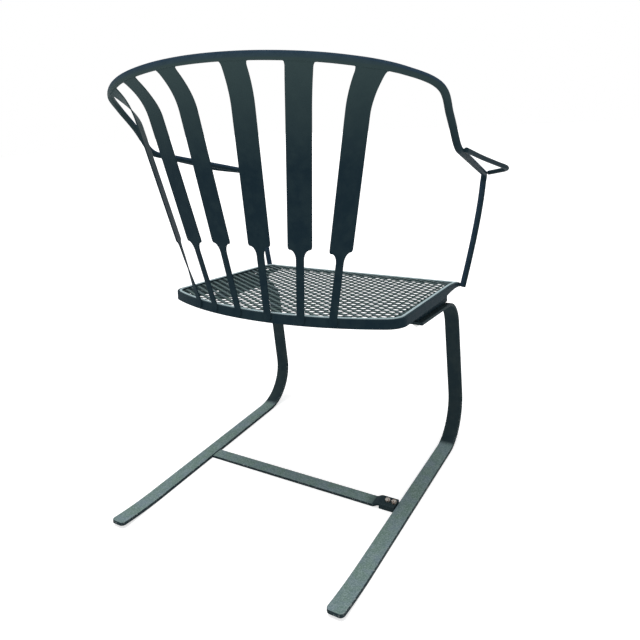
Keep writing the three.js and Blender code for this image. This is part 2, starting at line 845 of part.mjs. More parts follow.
// Arm loop: a hairpin rod outside the arm, from beside the elbow to the front of the arm
function armDirection() {
  const elbow = railKnots().at(-1);
  return postTop().sub(elbow);
}

function onArm(y) {
  const elbow = railKnots().at(-1);
  const arm = armDirection();
  return elbow.addScaledVector(arm, (y - elbow.y) / arm.y);
}

// Distance from the middle of a faceted round to one of its flats
function flatReach(diameter, sides) {
  return (diameter / 2) * Math.cos(Math.PI / sides);
}

function armLoop(side) {
  const clear = flatReach(rail_diameter, rail_sides) + flatReach(loop_rod_diameter, loop_sides) + post_gap;
  const at = (x, y) => new THREE.Vector3(x, y, onArm(y).z);
  const back = at(onArm(loop_back_y).x + clear, loop_back_y);
  const nose = at(loop_nose_x, loop_nose_y);
  const front = at(onArm(loop_front_y).x + clear, loop_front_y);
  const rear_knots = loop_rear_out_shares.map((share, i) => at(
    back.x + (nose.x - back.x) * share,
    back.y + (nose.y - back.y) * loop_rear_run_shares[i],
  ));
  const front_knots = loop_front_in_shares.map((share, i) => at(
    nose.x - (nose.x - front.x) * share,
    nose.y + (front.y - nose.y) * loop_front_run_shares[i],
  ));
  const curve = new THREE.CatmullRomCurve3(
    [back, ...rear_knots, nose, ...front_knots, front],
    false,
    'centripetal',
  );
  const points = curve.getSpacedPoints(loop_steps);
  const r = loop_rod_diameter / 2;
  const section = Array.from({ length: loop_sides }, (_, k) => {
    const angle = (2 * Math.PI * (k + 1 / 2)) / loop_sides;
    return [r * Math.cos(angle), r * Math.sin(angle)];
  });
  const frames = carriedFrames(points, new THREE.Vector3(0, 0, 1));
  const rings = frames.map(({ point, side: s, up }) => ringAt(point, s, up, section));
  return loft(rings.map((ring) => ring.map((p) => p.setX(side * p.x))));
}

function mesh(name, geometry, look) {
  const part = new THREE.Mesh(geometry, new THREE.MeshStandardMaterial(look));
  part.name = name;
  return part;
}

function baseGroup() {
  const group = new THREE.Group();
  group.name = 'base';
  const x = leg_spacing / 2;
  group.add(mesh('spring_lower_left', springLower(x), paint));
  group.add(mesh('spring_lower_right', springLower(-x), paint));
  group.add(mesh('crossbar', crossbar(), paint));
  group.add(mesh('crossbar_lug', crossbarLug(), paint));
  crossbarBoltPlaces().forEach((place, k) => {
    group.add(mesh(`crossbar_bolt_${k + 1}`, crossbarBolt(place), zinc));
    group.add(mesh(`crossbar_nut_${k + 1}`, crossbarNut(place), zinc));
  });
  return group;
}

function seatGroup() {
  const group = new THREE.Group();
  group.name = 'seat_frame';
  group.position.set(0, 0, seat_height);
  group.rotation.set(seat_pitch, 0, 0);
  group.add(mesh('seat_band', seatBand(), paint));
  group.add(mesh('seat_rim', seatRim(), paint));
  group.add(mesh('seat_mesh', seatMesh(), net_paint));
  group.add(mesh('back_rail', backRail(), paint));
  const sides = [['left', 1], ['right', -1]];
  for (const [word, side] of sides) {
    group.add(mesh(`bearer_${word}`, bearer(side), paint));
    group.add(mesh(`arm_loop_${word}`, armLoop(side), paint));
    seatBoltPlaces().forEach((y, k) => {
      const place = `${word}_${['rear', 'front'][k]}`;
      group.add(mesh(`spacer_${place}`, spacer(side, y), paint));
      group.add(mesh(`seat_bolt_${place}`, seatBolt(side, y), zinc));
      group.add(mesh(`seat_washer_${place}`, seatWasher(side, y), zinc));
      group.add(mesh(`seat_nut_${place}`, seatNut(side, y), zinc));
    });
  }
  const order = [[2, 1], [1, 1], [0, 1], [0, -1], [1, -1], [2, -1]];
  order.forEach(([index, side], k) => {
    group.add(mesh(`slat_${k + 1}`, slat(index, side), paint));
  });
  return group;
}

const chair = new THREE.Group();
chair.name = 'spring_lawn_chair';
chair.add(baseGroup());
chair.add(seatGroup());
chair.add(mesh('spring_upper_left', springUpper(leg_spacing / 2), paint));
chair.add(mesh('spring_upper_right', springUpper(-leg_spacing / 2), paint));
chair.updateMatrixWorld(true);
const bounds = new THREE.Box3().setFromObject(chair, true);
chair.position.y = -(bounds.min.y + bounds.max.y) / 2;
chair.updateMatrixWorld(true);

export default chair;
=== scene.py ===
import math
from functools import partialmethod

import bmesh
import bpy
import numpy as np
from mathutils import Matrix, Vector


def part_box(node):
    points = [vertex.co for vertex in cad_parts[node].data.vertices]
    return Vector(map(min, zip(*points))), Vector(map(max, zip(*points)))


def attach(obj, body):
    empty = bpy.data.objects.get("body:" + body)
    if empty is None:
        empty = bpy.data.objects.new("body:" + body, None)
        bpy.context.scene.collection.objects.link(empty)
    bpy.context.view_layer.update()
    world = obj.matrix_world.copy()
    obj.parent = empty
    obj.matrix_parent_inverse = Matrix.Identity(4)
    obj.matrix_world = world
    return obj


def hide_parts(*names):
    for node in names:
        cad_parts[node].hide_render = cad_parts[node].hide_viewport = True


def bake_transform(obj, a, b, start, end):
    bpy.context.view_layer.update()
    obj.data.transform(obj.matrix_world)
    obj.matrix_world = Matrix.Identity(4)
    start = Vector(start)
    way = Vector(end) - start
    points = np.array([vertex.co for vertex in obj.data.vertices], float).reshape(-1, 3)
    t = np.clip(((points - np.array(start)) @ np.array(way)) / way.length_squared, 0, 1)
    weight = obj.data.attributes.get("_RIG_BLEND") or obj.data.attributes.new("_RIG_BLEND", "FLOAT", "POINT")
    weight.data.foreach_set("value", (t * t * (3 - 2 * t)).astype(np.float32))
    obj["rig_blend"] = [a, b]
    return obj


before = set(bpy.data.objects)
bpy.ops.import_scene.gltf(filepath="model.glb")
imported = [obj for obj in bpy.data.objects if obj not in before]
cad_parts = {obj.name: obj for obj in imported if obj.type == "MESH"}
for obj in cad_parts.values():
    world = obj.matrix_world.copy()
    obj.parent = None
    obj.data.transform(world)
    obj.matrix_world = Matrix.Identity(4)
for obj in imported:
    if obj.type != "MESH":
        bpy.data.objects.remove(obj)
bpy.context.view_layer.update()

# Sizes are in metres. The sitter faces -Y, the sitter's left is +X, and the floor is at Z = 0.

# Spring legs
bar_width, bar_thickness, bar_rounding = 0.034, 0.007, 0.001
leg_spacing = 0.511
runner_tip_y, runner_rise_length, runner_tip_rise = 0.458, 0.118, 0.007
leg_front_y, lower_bend_radius, upright_lean = -0.185, 0.101, 0.07
upper_bend_top, upper_bend_radius, arm_rear_y = 0.361, 0.04, 0.065
hook_radius, runner_corner_radius, flex_reach = 0.075, 0.0095, 0.07
# The painted sky reflection and the edge wear on the legs fade out between these heights.
sheen_and_wear_fade_from, sheen_and_wear_fade_height = 0.05, 0.1

# Crossbar between the runners
crossbar_y, crossbar_width, crossbar_thickness = 0.156, 0.03, 0.006
lug_length, joggle_length = 0.034, 0.016
crossbar_bolt_diameter, crossbar_bolt_spacing, crossbar_bolt_shift = 0.006, 0.014, 0.005
crossbar_nut_flats, crossbar_nut_height = 0.01, 0.005

# Seat pan
seat_pitch, seat_height = 0.0925, 0.4125
seat_front_y, seat_rear_y = -0.203, 0.266
seat_front_width, seat_rear_width = 0.538, 0.568
rear_arc_radius, front_corner_radius, rear_corner_radius = 0.56, 0.016, 0.046
band_height, band_thickness, band_rounding = 0.019, 0.004, 0.0008
band_taper, band_taper_length = 0.0095, 0.16
rim_diameter, rim_rise = 0.0068, 0.0018
dip_length, dip_depth = 0.09, 0.008
net_long_pitch, net_short_pitch = 0.0316, 0.0195
strand_width, strand_thickness, strand_tilt = 0.0074, 0.0018, 0.14
strand_samples, net_level, net_dip_power, net_clearance = 12, -0.0042, 4.0, 0.0005

# Bearers, packing strips and bolts under the net
bearer_width, bearer_thickness, bearer_inset = 0.02, 0.005, 0.006
bearer_lift, bearer_lift_length = 0.0025, 0.06
packing_width, packing_overhang = 0.024, 0.022
seat_bolt_diameter, seat_nut_flats, seat_nut_height, seat_head_height = 0.008, 0.013, 0.0065, 0.0053
washer_diameter, washer_thickness, washer_chamfer = 0.018, 0.0016, 0.0002
seat_bolt_rear_inset, seat_bolt_spacing, thread_length = 0.026, 0.14, 0.003
turned_chamfer, hexagon_chamfer_share = 0.0006, 0.88
fit_gap = 0.0003

# Rail of the back, arms and posts
rail_diameter, rail_flat_height, rail_flat_thickness = 0.0138, 0.0158, 0.0095
rail_flat_length, rail_taper_length, rail_squareness, rail_end_rounding = 0.29, 0.1, 1.4, 0.0008
rail_half_width, rail_reach, rail_height = 0.371, 0.41, 0.47
elbow_y, elbow_height, elbow_trim = 0.152, 0.312, 0.024
post_top, post_bend_trim = np.array([0.3225, -0.1982, 0.251]), 0.02
post_foot_height, post_foot_angle, post_gap, post_bow = -0.015, 0.17, 0.00045, 0.008
back_x_shares = (0, 0.35, 0.664, 0.895, 1, 1)
back_y_shares = (1, 0.9426, 0.794, 0.573, 0.3465, 0.169)
back_z_shares = (1, 0.975, 0.899, 0.779, 0.627, 0.352)

# Slats; the index counts from the middle of the back outwards, the drifts run from left to right
slat_width, slat_neck_width, slat_thickness, slat_rounding = 0.047, 0.0155, 0.003, 0.0006
slat_lap, shoulder_length, shoulder_round = 0.015, 0.02, 0.007
shoulder_height = (0.118, 0.1145, 0.11)
slat_flare_height_share, slat_flare_reach_share = 0.84, 0.675
slat_foot_x, slat_top_x = (0.0352, 0.102, 0.162), (0.0752, 0.1879, 0.2881)
slat_foot_drift = (-0.003, 0.004, 0.004, 0.003, -0.001, -0.003)
slat_top_drift = (-0.004, 0.006, -0.001, 0, 0, -0.0035)
slat_face_angle = (0.1, 0.228, 0.98)
slat_top_sink, slat_top_blend, slat_top_fillet = 0.0015, 0.04, 0.009
lap_shares = np.array([1, 0.995, 0.98, 0.95, 0.9, 0.84, 0.76, 0.66, 0.55, 0.4, 0.2, 0])
foot_weld_rows = 8, 11

# Arm loops: their knots lie at these shares of the way to the nose and on from it, in x and in y
loop_rod_diameter, loop_end_rounding = 0.0098, 0.0012
loop_nose_x, loop_nose_y, loop_front_y, loop_back_y = 0.3963, -0.092, -0.178, 0.133
loop_back_shares, loop_front_shares = ((0.22, 0.4), (0.72, 0.8)), ((0.12, 0.3), (0.5, 0.62))

# Welds
loop_weld_share, loop_weld_reach = 0.42, 0.006
post_weld_spread, post_weld_low, post_weld_high = 0.003, 0.0015, 0.0065
crossbar_weld_inset, weld_sink = 0.002, 0.0004

# Colours and grain
# bare_steel is where the paint has worn off; the next colour and its heights are painted light, lighter towards
# the top of the back.
bare_steel, painted_top_light, painted_top_light_heights = (0.4, 0.44, 0.43, 1), (0.055, 0.088, 0.089, 1), (0.72, 0.93)
frame_colours = (0.0131, 0.0287, 0.04, 1), (0.0212, 0.04, 0.049, 1)
bar_colours = (0.022, 0.0385, 0.0465, 1), (0.036, 0.054, 0.057, 1)
# Painted sky reflection: the pale tones that faces looking up take.
sky_sheen_tones = (0.13, 0.205, 0.18, 1), (0.155, 0.215, 0.25, 1), (0.36, 0.45, 0.44, 1)
# Painted reflection: pale tones on the upper side of the rim rod.
rim_sheen_tones = (0.36, 0.48, 0.5, 1), (0.42, 0.54, 0.58, 1), (0.6, 0.7, 0.72, 1)
# Painted reflection: bluish tones on the rail's upper side.
rail_sheen_tones = (0.018, 0.04, 0.07, 1), (0.03, 0.058, 0.092, 1), (0.055, 0.09, 0.13, 1)
fine_grain, small_blotch, hidden_edge_wear, enamel_gloss = 700.0, 45.0, 0.12, 0.01

# Studio and camera
floor_reach, floor_glow, room_light = 12, 0.62, 0.62
sun_energy, sun_angle, sun_direction = 1.25, 24, (0.12, 0.1, 1.0)
photo_size, photo_focal, photo_centre_x, photo_centre_y, sensor_width = 640, 620.26, 308.71, 227.59, 36
camera_place, camera_yaw, camera_pitch, camera_roll = (-0.7141, 1.0771, 0.8419), 0.5536, 0.2062, 0.0697

bearer_x = seat_front_width / 2 - band_thickness - bearer_inset - bearer_width / 2
leg_inside = leg_spacing / 2 - bar_width / 2
sides = (1, "left"), (-1, "right")
crossbar_low, crossbar_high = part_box("crossbar")
chair_shift = (crossbar_low.y + crossbar_high.y) / 2 - crossbar_y
seat_place = Matrix.Translation((0, chair_shift, seat_height)) @ Matrix.Rotation(seat_pitch, 4, "X")
body_place = {"base": Matrix.Translation((0, chair_shift, 0)), "seat": seat_place}
working_attributes = (
    "centre", "across", "face", "half_width", "half_thickness", "flatness", "end_edge",
    "reach", "reach_flat", "offset", "side_edge", "along",
)


# Lines and directions
def unit(vector):
    return np.asarray(vector, float) / np.linalg.norm(vector)


def ease(share):
    share = np.clip(share, 0, 1)
    return share * share * (3 - 2 * share)


def travelled(line):
    """Distance along a line at each of its places."""
    return np.concatenate([[0], np.cumsum(np.linalg.norm(np.diff(line, axis=0), axis=1))])


def smooth_line(knots, count):
    """Evenly spaced places on a smooth line that keeps close to its knots where they lie close together."""
    knots = [np.asarray(k, float) for k in knots]
    knots = [2 * knots[0] - knots[1], *knots, 2 * knots[-1] - knots[-2]]
    t = np.linspace(0, 1, 40, endpoint=False)[:, None]
    dense = []
    for a, b, c, d in zip(knots, knots[1:], knots[2:], knots[3:]):
        before, here, after = (np.linalg.norm(q - p) ** 0.5 for p, q in ((a, b), (b, c), (c, d)))
        leave = ((b - a) / before - (c - a) / (before + here) + (c - b) / here) * here
        arrive = ((c - b) / here - (d - b) / (here + after) + (d - c) / after) * here
        dense.append(b + (c - b) * ease(t) + leave * (t - 2 * t**2 + t**3) + arrive * (t**3 - t**2))
    line = np.concatenate([*dense, [knots[-2]]])
    travel = travelled(line)
    at = np.linspace(0, travel[-1], count)
    return np.stack([np.interp(at, travel, line[:, axis]) for axis in range(3)], 1)


def drawn(start, corner, end, steps):
    """Places on the curve from start to end that is drawn towards a corner."""
    t = np.linspace(0, 1, steps + 1)[:, None]
    return (1 - t) ** 2 * start + 2 * t * (1 - t) * corner + t**2 * end


def corner_bend(corner, before, after, trim):
    return drawn(corner + trim * unit(before - corner), corner, corner + trim * unit(after - corner), 14)


def arc(centre, radius, start, end, steps):
    """Places on an arc with the directions out from its centre; a negative radius turns these inwards."""
    angles = np.linspace(start, end, steps + 1)
    normals = np.column_stack([np.sin(angles), np.cos(angles)])
    return np.array(centre) + radius * normals, normals


def strung(*parts):
    """Places and their normals, part after part; a single normal goes for its whole part."""
    normals = [np.broadcast_to(normal, places.shape) for places, normal in parts]
    return np.concatenate([places for places, _ in parts]), np.concatenate(normals)


def carried_sides(points, side, first_along=None):
    """Side and up directions that follow a line without twisting."""
    alongs = [unit(after - before) for before, after in zip([points[0], *points], [*points[1:], points[-1]])]
    if first_along:
        alongs[0] = np.array(first_along, float)
    sides = []
    for along in alongs:
        side = unit(side - along * np.dot(side, along))
        sides.append(side)
    return np.array(sides), np.cross(alongs, sides)


def line_rows(centre, across, face, half_width, half_thickness, flatness=0.0):
    """A line that a section follows: places, the section's two directions and its half sizes."""
    rows = {"centre": centre, "across": across, "face": face}
    rows = {key: np.broadcast_to(value, (len(centre), 3)) for key, value in rows.items()}
    sizes = {"half_width": half_width, "half_thickness": half_thickness, "flatness": flatness, "end_edge": 0.0}
    rows |= {key: np.broadcast_to(value, len(centre)) for key, value in sizes.items()}
    return {key: value.astype(float) for key, value in rows.items()}


def rounded_ends(rows, radius, steps=3):
    """Rows with both cut ends rounded off by a small radius."""
    angles = np.linspace(math.pi / 2, 0, steps + 1)
    for _ in range(2):
        new = {key: np.repeat(value[:1], steps + 1, axis=0) for key, value in rows.items()}
        inward = unit(rows["centre"][1] - rows["centre"][0])
        new["centre"] += inward * radius * (1 - np.sin(angles))[:, None]
        new["half_width"] -= radius * (1 - np.cos(angles))
        new["half_thickness"] -= radius * (1 - np.cos(angles))
        new["end_edge"] += 1
        rows = {key: np.concatenate([new[key], value[1:]])[::-1] for key, value in rows.items()}
    return rows


def mirrored(rows):
    return {key: value * (-1, 1, 1) if value.ndim == 2 else value for key, value in rows.items()}


# Meshes and sections
def new_mesh(name, points, edges=(), faces=(), **attributes):
    mesh = bpy.data.meshes.new(name)
    mesh.from_pydata([tuple(p) for p in points], edges, faces)
    for key, values in attributes.items():
        values = np.asarray(values, np.float32)
        kind, field = ("FLOAT_VECTOR", "vector") if values.ndim == 2 else ("FLOAT", "value")
        mesh.attributes.new(key, kind, "POINT").data.foreach_set(field, values.ravel())
    return mesh


def chain(count, closed):
    """Edges from each point to the next."""
    return [(i, (i + 1) % count) for i in range(count if closed else count - 1)]


def placed_object(name, mesh):
    piece = bpy.data.objects.new(name, mesh)
    bpy.context.scene.collection.objects.link(piece)
    return piece


def section_object(name, reach, reach_flat, offset, edge):
    """A closed section: each point lies at reach times the half sizes, plus its offset."""
    reach, reach_flat, offset = (np.pad(values, ((0, 0), (0, 1))) for values in (reach, reach_flat, offset))
    carried = {"reach": reach, "reach_flat": reach_flat, "offset": offset, "side_edge": edge}
    return placed_object(name, new_mesh(name, reach + offset, chain(len(reach), True), **carried))


def flat_bar_section(name, rounding, support, steps=3):
    """Rectangle with rounded edges, and a row of points close to each edge that keeps the flats flat."""
    reach, offset = [], []
    for quarter, corner in enumerate(((1, 1), (-1, 1), (-1, -1), (1, -1))):
        start = quarter * math.pi / 2
        _, turn = arc((0, 0), 1, start, start + math.pi / 2, steps)
        points = rounding * (turn[:, ::-1] - corner)
        offset += [points[0] + support * turn[0] * (1, -1), *points, points[-1] + support * turn[-1] * (-1, 1)]
        reach += [corner] * (steps + 3)
    return section_object(name, reach, reach, offset, [0, *[1] * (steps + 1), 0] * 4)


def squarer(values):
    """The outline of a round pipe where it is flattened."""
    return np.copysign(np.abs(values) ** (2 / (2 + rail_squareness)), values)


def pipe_section(name, sides):
    """Round pipe, with the squarer shape that it has where it is flattened."""
    step = 2 * math.pi / sides
    _, turn = arc((0, 0), 1, step / 2, 2 * math.pi - step / 2, sides - 1)
    reach = turn[:, ::-1]
    return section_object(name, reach, squarer(reach), reach * 0, [0] * sides)


# Node trees
class Flow:
    """What a node's socket puts out. A sum with it adds the node that works it out."""

    def __init__(self, tree, socket):
        self.tree, self.socket = tree, socket

    def maths(self, operation, *others):
        return self.tree.put("ShaderNodeMath", dict(enumerate((self, *others))), operation=operation)

    def vectors(self, operation, *others):
        slots = dict(zip((0, "Scale" if operation == "SCALE" else 1), (self, *others)))
        return self.tree.put("ShaderNodeVectorMath", slots, "Vector", operation=operation)

    def part(self, axis):
        return self.tree.put("ShaderNodeSeparateXYZ", {0: self}, axis)

    __add__, __sub__ = partialmethod(maths, "ADD"), partialmethod(maths, "SUBTRACT")
    __mul__, __truediv__ = partialmethod(maths, "MULTIPLY"), partialmethod(maths, "DIVIDE")
    plus, minus = partialmethod(vectors, "ADD"), partialmethod(vectors, "SUBTRACT")
    cross, scaled = partialmethod(vectors, "CROSS_PRODUCT"), partialmethod(vectors, "SCALE")


class Tree:
    """A node tree that nodes are added to."""

    def __init__(self, data):
        self.data = data

    def feed(self, entry, source):
        """Link a socket to an entry, or set the entry to a plain value."""
        source = getattr(source, "socket", source)
        if isinstance(source, bpy.types.NodeSocket):
            self.data.links.new(source, entry)
        else:
            entry.default_value = source

    def put(self, kind, slots=None, out=0, **more):
        """A new node's output, or the node where out is None; settings are in lower case, sockets aren't."""
        node = self.data.nodes.new(kind)
        slots = dict(slots or {})
        for key, value in more.items():
            if key.islower():
                setattr(node, key, value)
            else:
                slots[key.replace("_", " ")] = value
        for key, source in slots.items():
            self.feed(node.inputs[key], source)
        return node if out is None else Flow(self, node.outputs[out])

    def shade(self, node="Principled BSDF", **values):
        """Feed the sockets of the node that shades."""
        for key, source in values.items():
            self.feed(self.data.nodes[node].inputs[key.replace("_", " ")], source)


class Group(Tree):
    """A node group. Its inputs and outputs have a default value or the name of their type."""

    def __init__(self, kind, name, inputs, outputs):
        super().__init__(bpy.data.node_groups.new(name, kind))
        for way, sockets in (("INPUT", inputs), ("OUTPUT", outputs)):
            for label, value in sockets.items():
                word = value if isinstance(value, str) else type(value).__name__.title()
                socket = self.data.interface.new_socket(label, in_out=way, socket_type=f"NodeSocket{word}")
                if word != value:
                    socket.default_value = value
        self.entry, self.end = (self.data.nodes.new(f"NodeGroup{way}") for way in ("Input", "Output"))

    def given(self, label):
        return Flow(self, self.entry.outputs[label])

    def result(self, label, source):
        self.feed(self.end.inputs[label], source)


class Shape(Group):
    """A tree that makes a piece of the given material from a line, a field or points."""

    def __init__(self, name, **inputs):
        inputs = {key.replace("_", " "): value for key, value in inputs.items()}
        inputs = {"Geometry": "Geometry", "Material": "Material", **inputs}
        super().__init__("GeometryNodeTree", name, inputs, {"Geometry": "Geometry"})

    def geo(self, kind, slots=None, out=0, **more):
        return self.put(f"GeometryNode{kind}", slots, out, **more)

    def xyz(self, **parts):
        return self.put("ShaderNodeCombineXYZ", **parts)

    def opposite(self, choice):
        return self.put("FunctionNodeBooleanMath", {0: choice}, operation="NOT")

    def random(self, low, high, seed):
        return self.put("FunctionNodeRandomValue", {2: low, 3: high}, 1, Seed=seed, data_type="FLOAT")

    def kept(self, name, kind="FLOAT_VECTOR"):
        """An attribute that the line or the section carries."""
        node = self.geo("InputNamedAttribute", out=None, Name=name, data_type=kind)
        return Flow(self, next(s for s in node.outputs if s.enabled and s.name == "Attribute"))

    def keep(self, geometry, name, value, kind="FLOAT_VECTOR"):
        more = {"data_type": kind, "domain": "POINT"}
        node = self.geo("StoreNamedAttribute", out=None, Geometry=geometry, Name=name, **more)
        self.feed(next(s for s in node.inputs if s.enabled and s.name == "Value"), value)
        return Flow(self, node.outputs[0])

    def finished(self, geometry, sharp_angle=0.8):
        """The tree, with smooth faces, sharp edges above an angle, and the material."""
        smooth = self.geo("SetShadeSmooth", {0: self.geo("RealizeInstances", {0: geometry})}, Shade_Smooth=True)
        sharp = self.geo("InputMeshEdgeAngle", out="Unsigned Angle").maths("GREATER_THAN", sharp_angle)
        crisp = self.geo("SetShadeSmooth", {0: smooth}, Selection=sharp, Shade_Smooth=False, domain="EDGE")
        self.result("Geometry", self.geo("SetMaterial", Geometry=crisp, Material=self.given("Material")))
        return self.data


def rolled_tree():
    """A section of metal that follows a line, with the half sizes that the line carries."""
    tree = Shape("rolled_along_line", Section="Object", Closed=False)
    geo, kept = tree.geo, tree.kept
    section = geo("ObjectInfo", out="Geometry", Object=tree.given("Section"))
    swept = geo(
        "CurveToMesh",
        Curve=geo("MeshToCurve", Mesh=tree.given("Geometry")),
        Profile_Curve=geo("MeshToCurve", Mesh=section),
        Fill_Caps=tree.opposite(tree.given("Closed")),
    )
    flatter = kept("reach_flat").minus(kept("reach")).scaled(kept("flatness", "FLOAT"))
    sizes = tree.xyz(X=kept("half_width", "FLOAT"), Y=kept("half_thickness", "FLOAT"))
    local = kept("reach").plus(flatter).vectors("MULTIPLY", sizes).plus(kept("offset"))
    place = kept("centre")
    for direction, axis in (("across", "X"), ("face", "Y")):
        place = place.plus(kept(direction).scaled(local.part(axis)))
    worn = kept("side_edge", "FLOAT").maths("MAXIMUM", kept("end_edge", "FLOAT"))
    return tree.finished(tree.keep(geo("SetPosition", Geometry=swept, Position=place), "edge", worn, "FLOAT"))


def net_tree():
    """Expanded metal: rows of tilted strands that wave from bond to bond inside the given field."""
    tree = Shape(
        "expanded_net",
        Long_pitch=net_long_pitch,
        Short_pitch=net_short_pitch,
        Strand_width=strand_width,
        Strand_thickness=strand_thickness,
        Strand_tilt=strand_tilt,
        Samples=strand_samples,
        Width=seat_rear_width,
        Front=seat_front_y,
        Depth=seat_rear_y - seat_front_y,
        Dip_length=dip_length,
        Dip_depth=dip_depth,
        Dip_power=net_dip_power,
    )
    geo, given, xyz = tree.geo, tree.given, tree.xyz
    long_pitch, short_pitch, front, samples = map(given, ("Long pitch", "Short pitch", "Front", "Samples"))
    width, tilt, here = given("Strand width"), given("Strand tilt"), geo("InputPosition")
    row_gap = short_pitch * 0.5
    row_count = (given("Depth") / row_gap).maths("CEIL")
    # an even number of long pitches, so that the net is the same on both sides of the middle
    pitches = (given("Width") / (long_pitch * 2)).maths("CEIL")

    def row_of_points(count, start, step):
        return geo("MeshLine", Count=count, Start_Location=start, Offset=step)

    row = row_of_points(pitches * 2 * samples + 1, xyz(X=pitches * long_pitch * -1), xyz(X=long_pitch / samples))
    starts = row_of_points(row_count, xyz(Y=front), xyz(Y=row_gap))
    lines = geo("RealizeInstances", {0: geo("InstanceOnPoints", Points=starts, Instance=row)})

    # wave from bond to bond: flat at the bonds, straight between them
    number = ((here.part("Y") - front) / row_gap).maths("ROUND")
    fraction = (here.part("X") / long_pitch + number * 0.5 + 100).maths("FRACT")
    triangle = (fraction - 0.5).maths("ABSOLUTE") * 4 - 1
    wave = (triangle * 1.5).maths("MINIMUM", 1).maths("MAXIMUM", -1)
    lean, flat, rise = width * 0.5, tilt.maths("COSINE"), tilt.maths("SINE")
    shift = xyz(Y=wave * (short_pitch * 0.25 - lean * flat), Z=wave * (lean * rise * -1))
    waved = geo("SetPosition", Geometry=lines, Offset=shift)

    # only what lies over the field stays
    ray = {"Source Position": here.minus((0, 0, 0.05)), "Ray Direction": (0, 0, 1), "Ray Length": 0.2}
    outside = tree.opposite(geo("Raycast", ray, "Is Hit", Target_Geometry=given("Geometry")))
    inside = geo("DeleteGeometry", Geometry=waved, Selection=outside, domain="POINT")

    # the net dips at the front edge with the band
    reach = front + given("Dip length") - here.part("Y")
    share = (reach / given("Dip length")).maths("MAXIMUM", 0).maths("POWER", given("Dip power"))
    dipped = geo("SetPosition", Geometry=inside, Offset=xyz(Z=share * (given("Dip depth") * -1)))

    # each strand is a tilted ribbon of the sheet's thickness
    tangent = geo("InputTangent")
    along = tangent.scaled(tangent.part("X").maths("SIGN"))
    carried = tree.keep(tree.keep(geo("MeshToCurve", Mesh=dipped), "along", along), "centre", here)
    ribbon = geo("CurvePrimitiveQuadrilateral", Width=width, Height=given("Strand thickness"))
    ribbon = tree.keep(ribbon, "reach", here)
    strands = geo("CurveToMesh", Curve=carried, Profile_Curve=ribbon, Fill_Caps=True)
    along, reach = tree.kept("along"), tree.kept("reach")
    across = xyz(Y=rise * -1, Z=flat).cross(along).vectors("NORMALIZE")
    aside = across.scaled(reach.part("X"))
    above = along.cross(across).scaled(reach.part("Y"))
    spot = tree.kept("centre").plus(aside).plus(above)
    return tree.finished(geo("SetPosition", Geometry=strands, Position=spot), sharp_angle=0.6)


def turned_tree():
    """A round or six-sided piece with chamfered ends, set upright on each of the given points."""
    sizes = {"Diameter": 0.013, "Height": 0.006, "Chamfer": turned_chamfer, "Chamfer_share": hexagon_chamfer_share}
    tree = Shape("turned_piece", Sides=6, Turn_seed=1, **sizes)
    geo, given = tree.geo, tree.given
    depth = given("Height") - given("Chamfer") * 2
    links = {"Vertices": given("Sides"), "Radius": given("Diameter") * 0.5, "Depth": depth}
    piece = geo("MeshCylinder", links, "Mesh", fill_type="NGON")
    level = geo("InputNormal").part("Z")
    for way in (1, -1):
        links = {"Mesh": piece, "Selection": (level * way).maths("GREATER_THAN", 0.9)}
        grown = geo("ExtrudeMesh", links, None, Offset_Scale=given("Chamfer"), mode="FACES").outputs
        links = {"Geometry": grown["Mesh"], "Selection": grown["Top"], "Scale": given("Chamfer share")}
        piece = geo("ScaleElements", links)
    turn = tree.xyz(Z=tree.random(0, math.pi, given("Turn seed")))
    twist = tree.put("FunctionNodeEulerToRotation", {0: turn})
    placed = geo("InstanceOnPoints", Points=given("Geometry"), Instance=piece, Rotation=twist)
    return tree.finished(placed, sharp_angle=0.5)


def bead_tree():
    """Weld bead: overlapping drops of metal along the given lines."""
    tree = Shape("weld_bead", Drop_size=0.0022, Drop_pitch=0.0016, Seed=3)
    geo, given = tree.geo, tree.given
    line = geo("MeshToCurve", Mesh=given("Geometry"))
    drops = geo("CurveToPoints", out=None, Curve=line, Length=given("Drop pitch"), mode="LENGTH").outputs
    drop = geo("MeshUVSphere", out="Mesh", Segments=8, Rings=5, Radius=given("Drop size"))
    links = {"Points": drops["Points"], "Instance": drop, "Rotation": drops["Rotation"]}
    placed = geo("InstanceOnPoints", links, Scale=tree.random(0.75, 1.15, given("Seed")))
    return tree.finished(placed, sharp_angle=3)


# Pieces
def settled(piece, modifier):
    """The piece with what its modifier makes of it as a plain mesh."""
    bpy.context.view_layer.update()
    mesh = bpy.data.meshes.new_from_object(piece.evaluated_get(bpy.context.evaluated_depsgraph_get()))
    piece.modifiers.remove(modifier)
    piece.data = mesh
    mesh.name = piece.name
    return piece


def shaped(name, source, tree, place, **values):
    """A plain mesh piece from what the tree makes of the source mesh, with its faces outwards."""
    piece = placed_object(name, source)
    modifier = piece.modifiers.new("shape", "NODES")
    modifier.node_group = tree
    for item in tree.interface.items_tree:
        if item.in_out == "INPUT" and item.name.replace(" ", "_") in values:
            modifier[item.identifier] = values[item.name.replace(" ", "_")]
    mesh = settled(piece, modifier).data
    for spare in [a.name for a in mesh.attributes if a.name in working_attributes]:
        mesh.attributes.remove(mesh.attributes[spare])
    mesh.transform(place)
    shell = bmesh.new()
    shell.from_mesh(mesh)
    bmesh.ops.recalc_face_normals(shell, faces=shell.faces)
    shell.to_mesh(mesh)
    shell.free()
    return piece


def joined(name, pieces):
    shell = bmesh.new()
    mesh = bpy.data.meshes.new(name)
    for material in pieces[0].data.materials:
        mesh.materials.append(material)
    for piece in pieces:
        shell.from_mesh(piece.data)
        bpy.data.objects.remove(piece)
    shell.to_mesh(mesh)
    shell.free()
    return placed_object(name, mesh)


# Materials
def noise(vector, scale, detail, roughness):
    links = {"Vector": vector, "Scale": scale, "Detail": detail, "Roughness": roughness}
    return vector.tree.put("ShaderNodeTexNoise", links, "Fac")


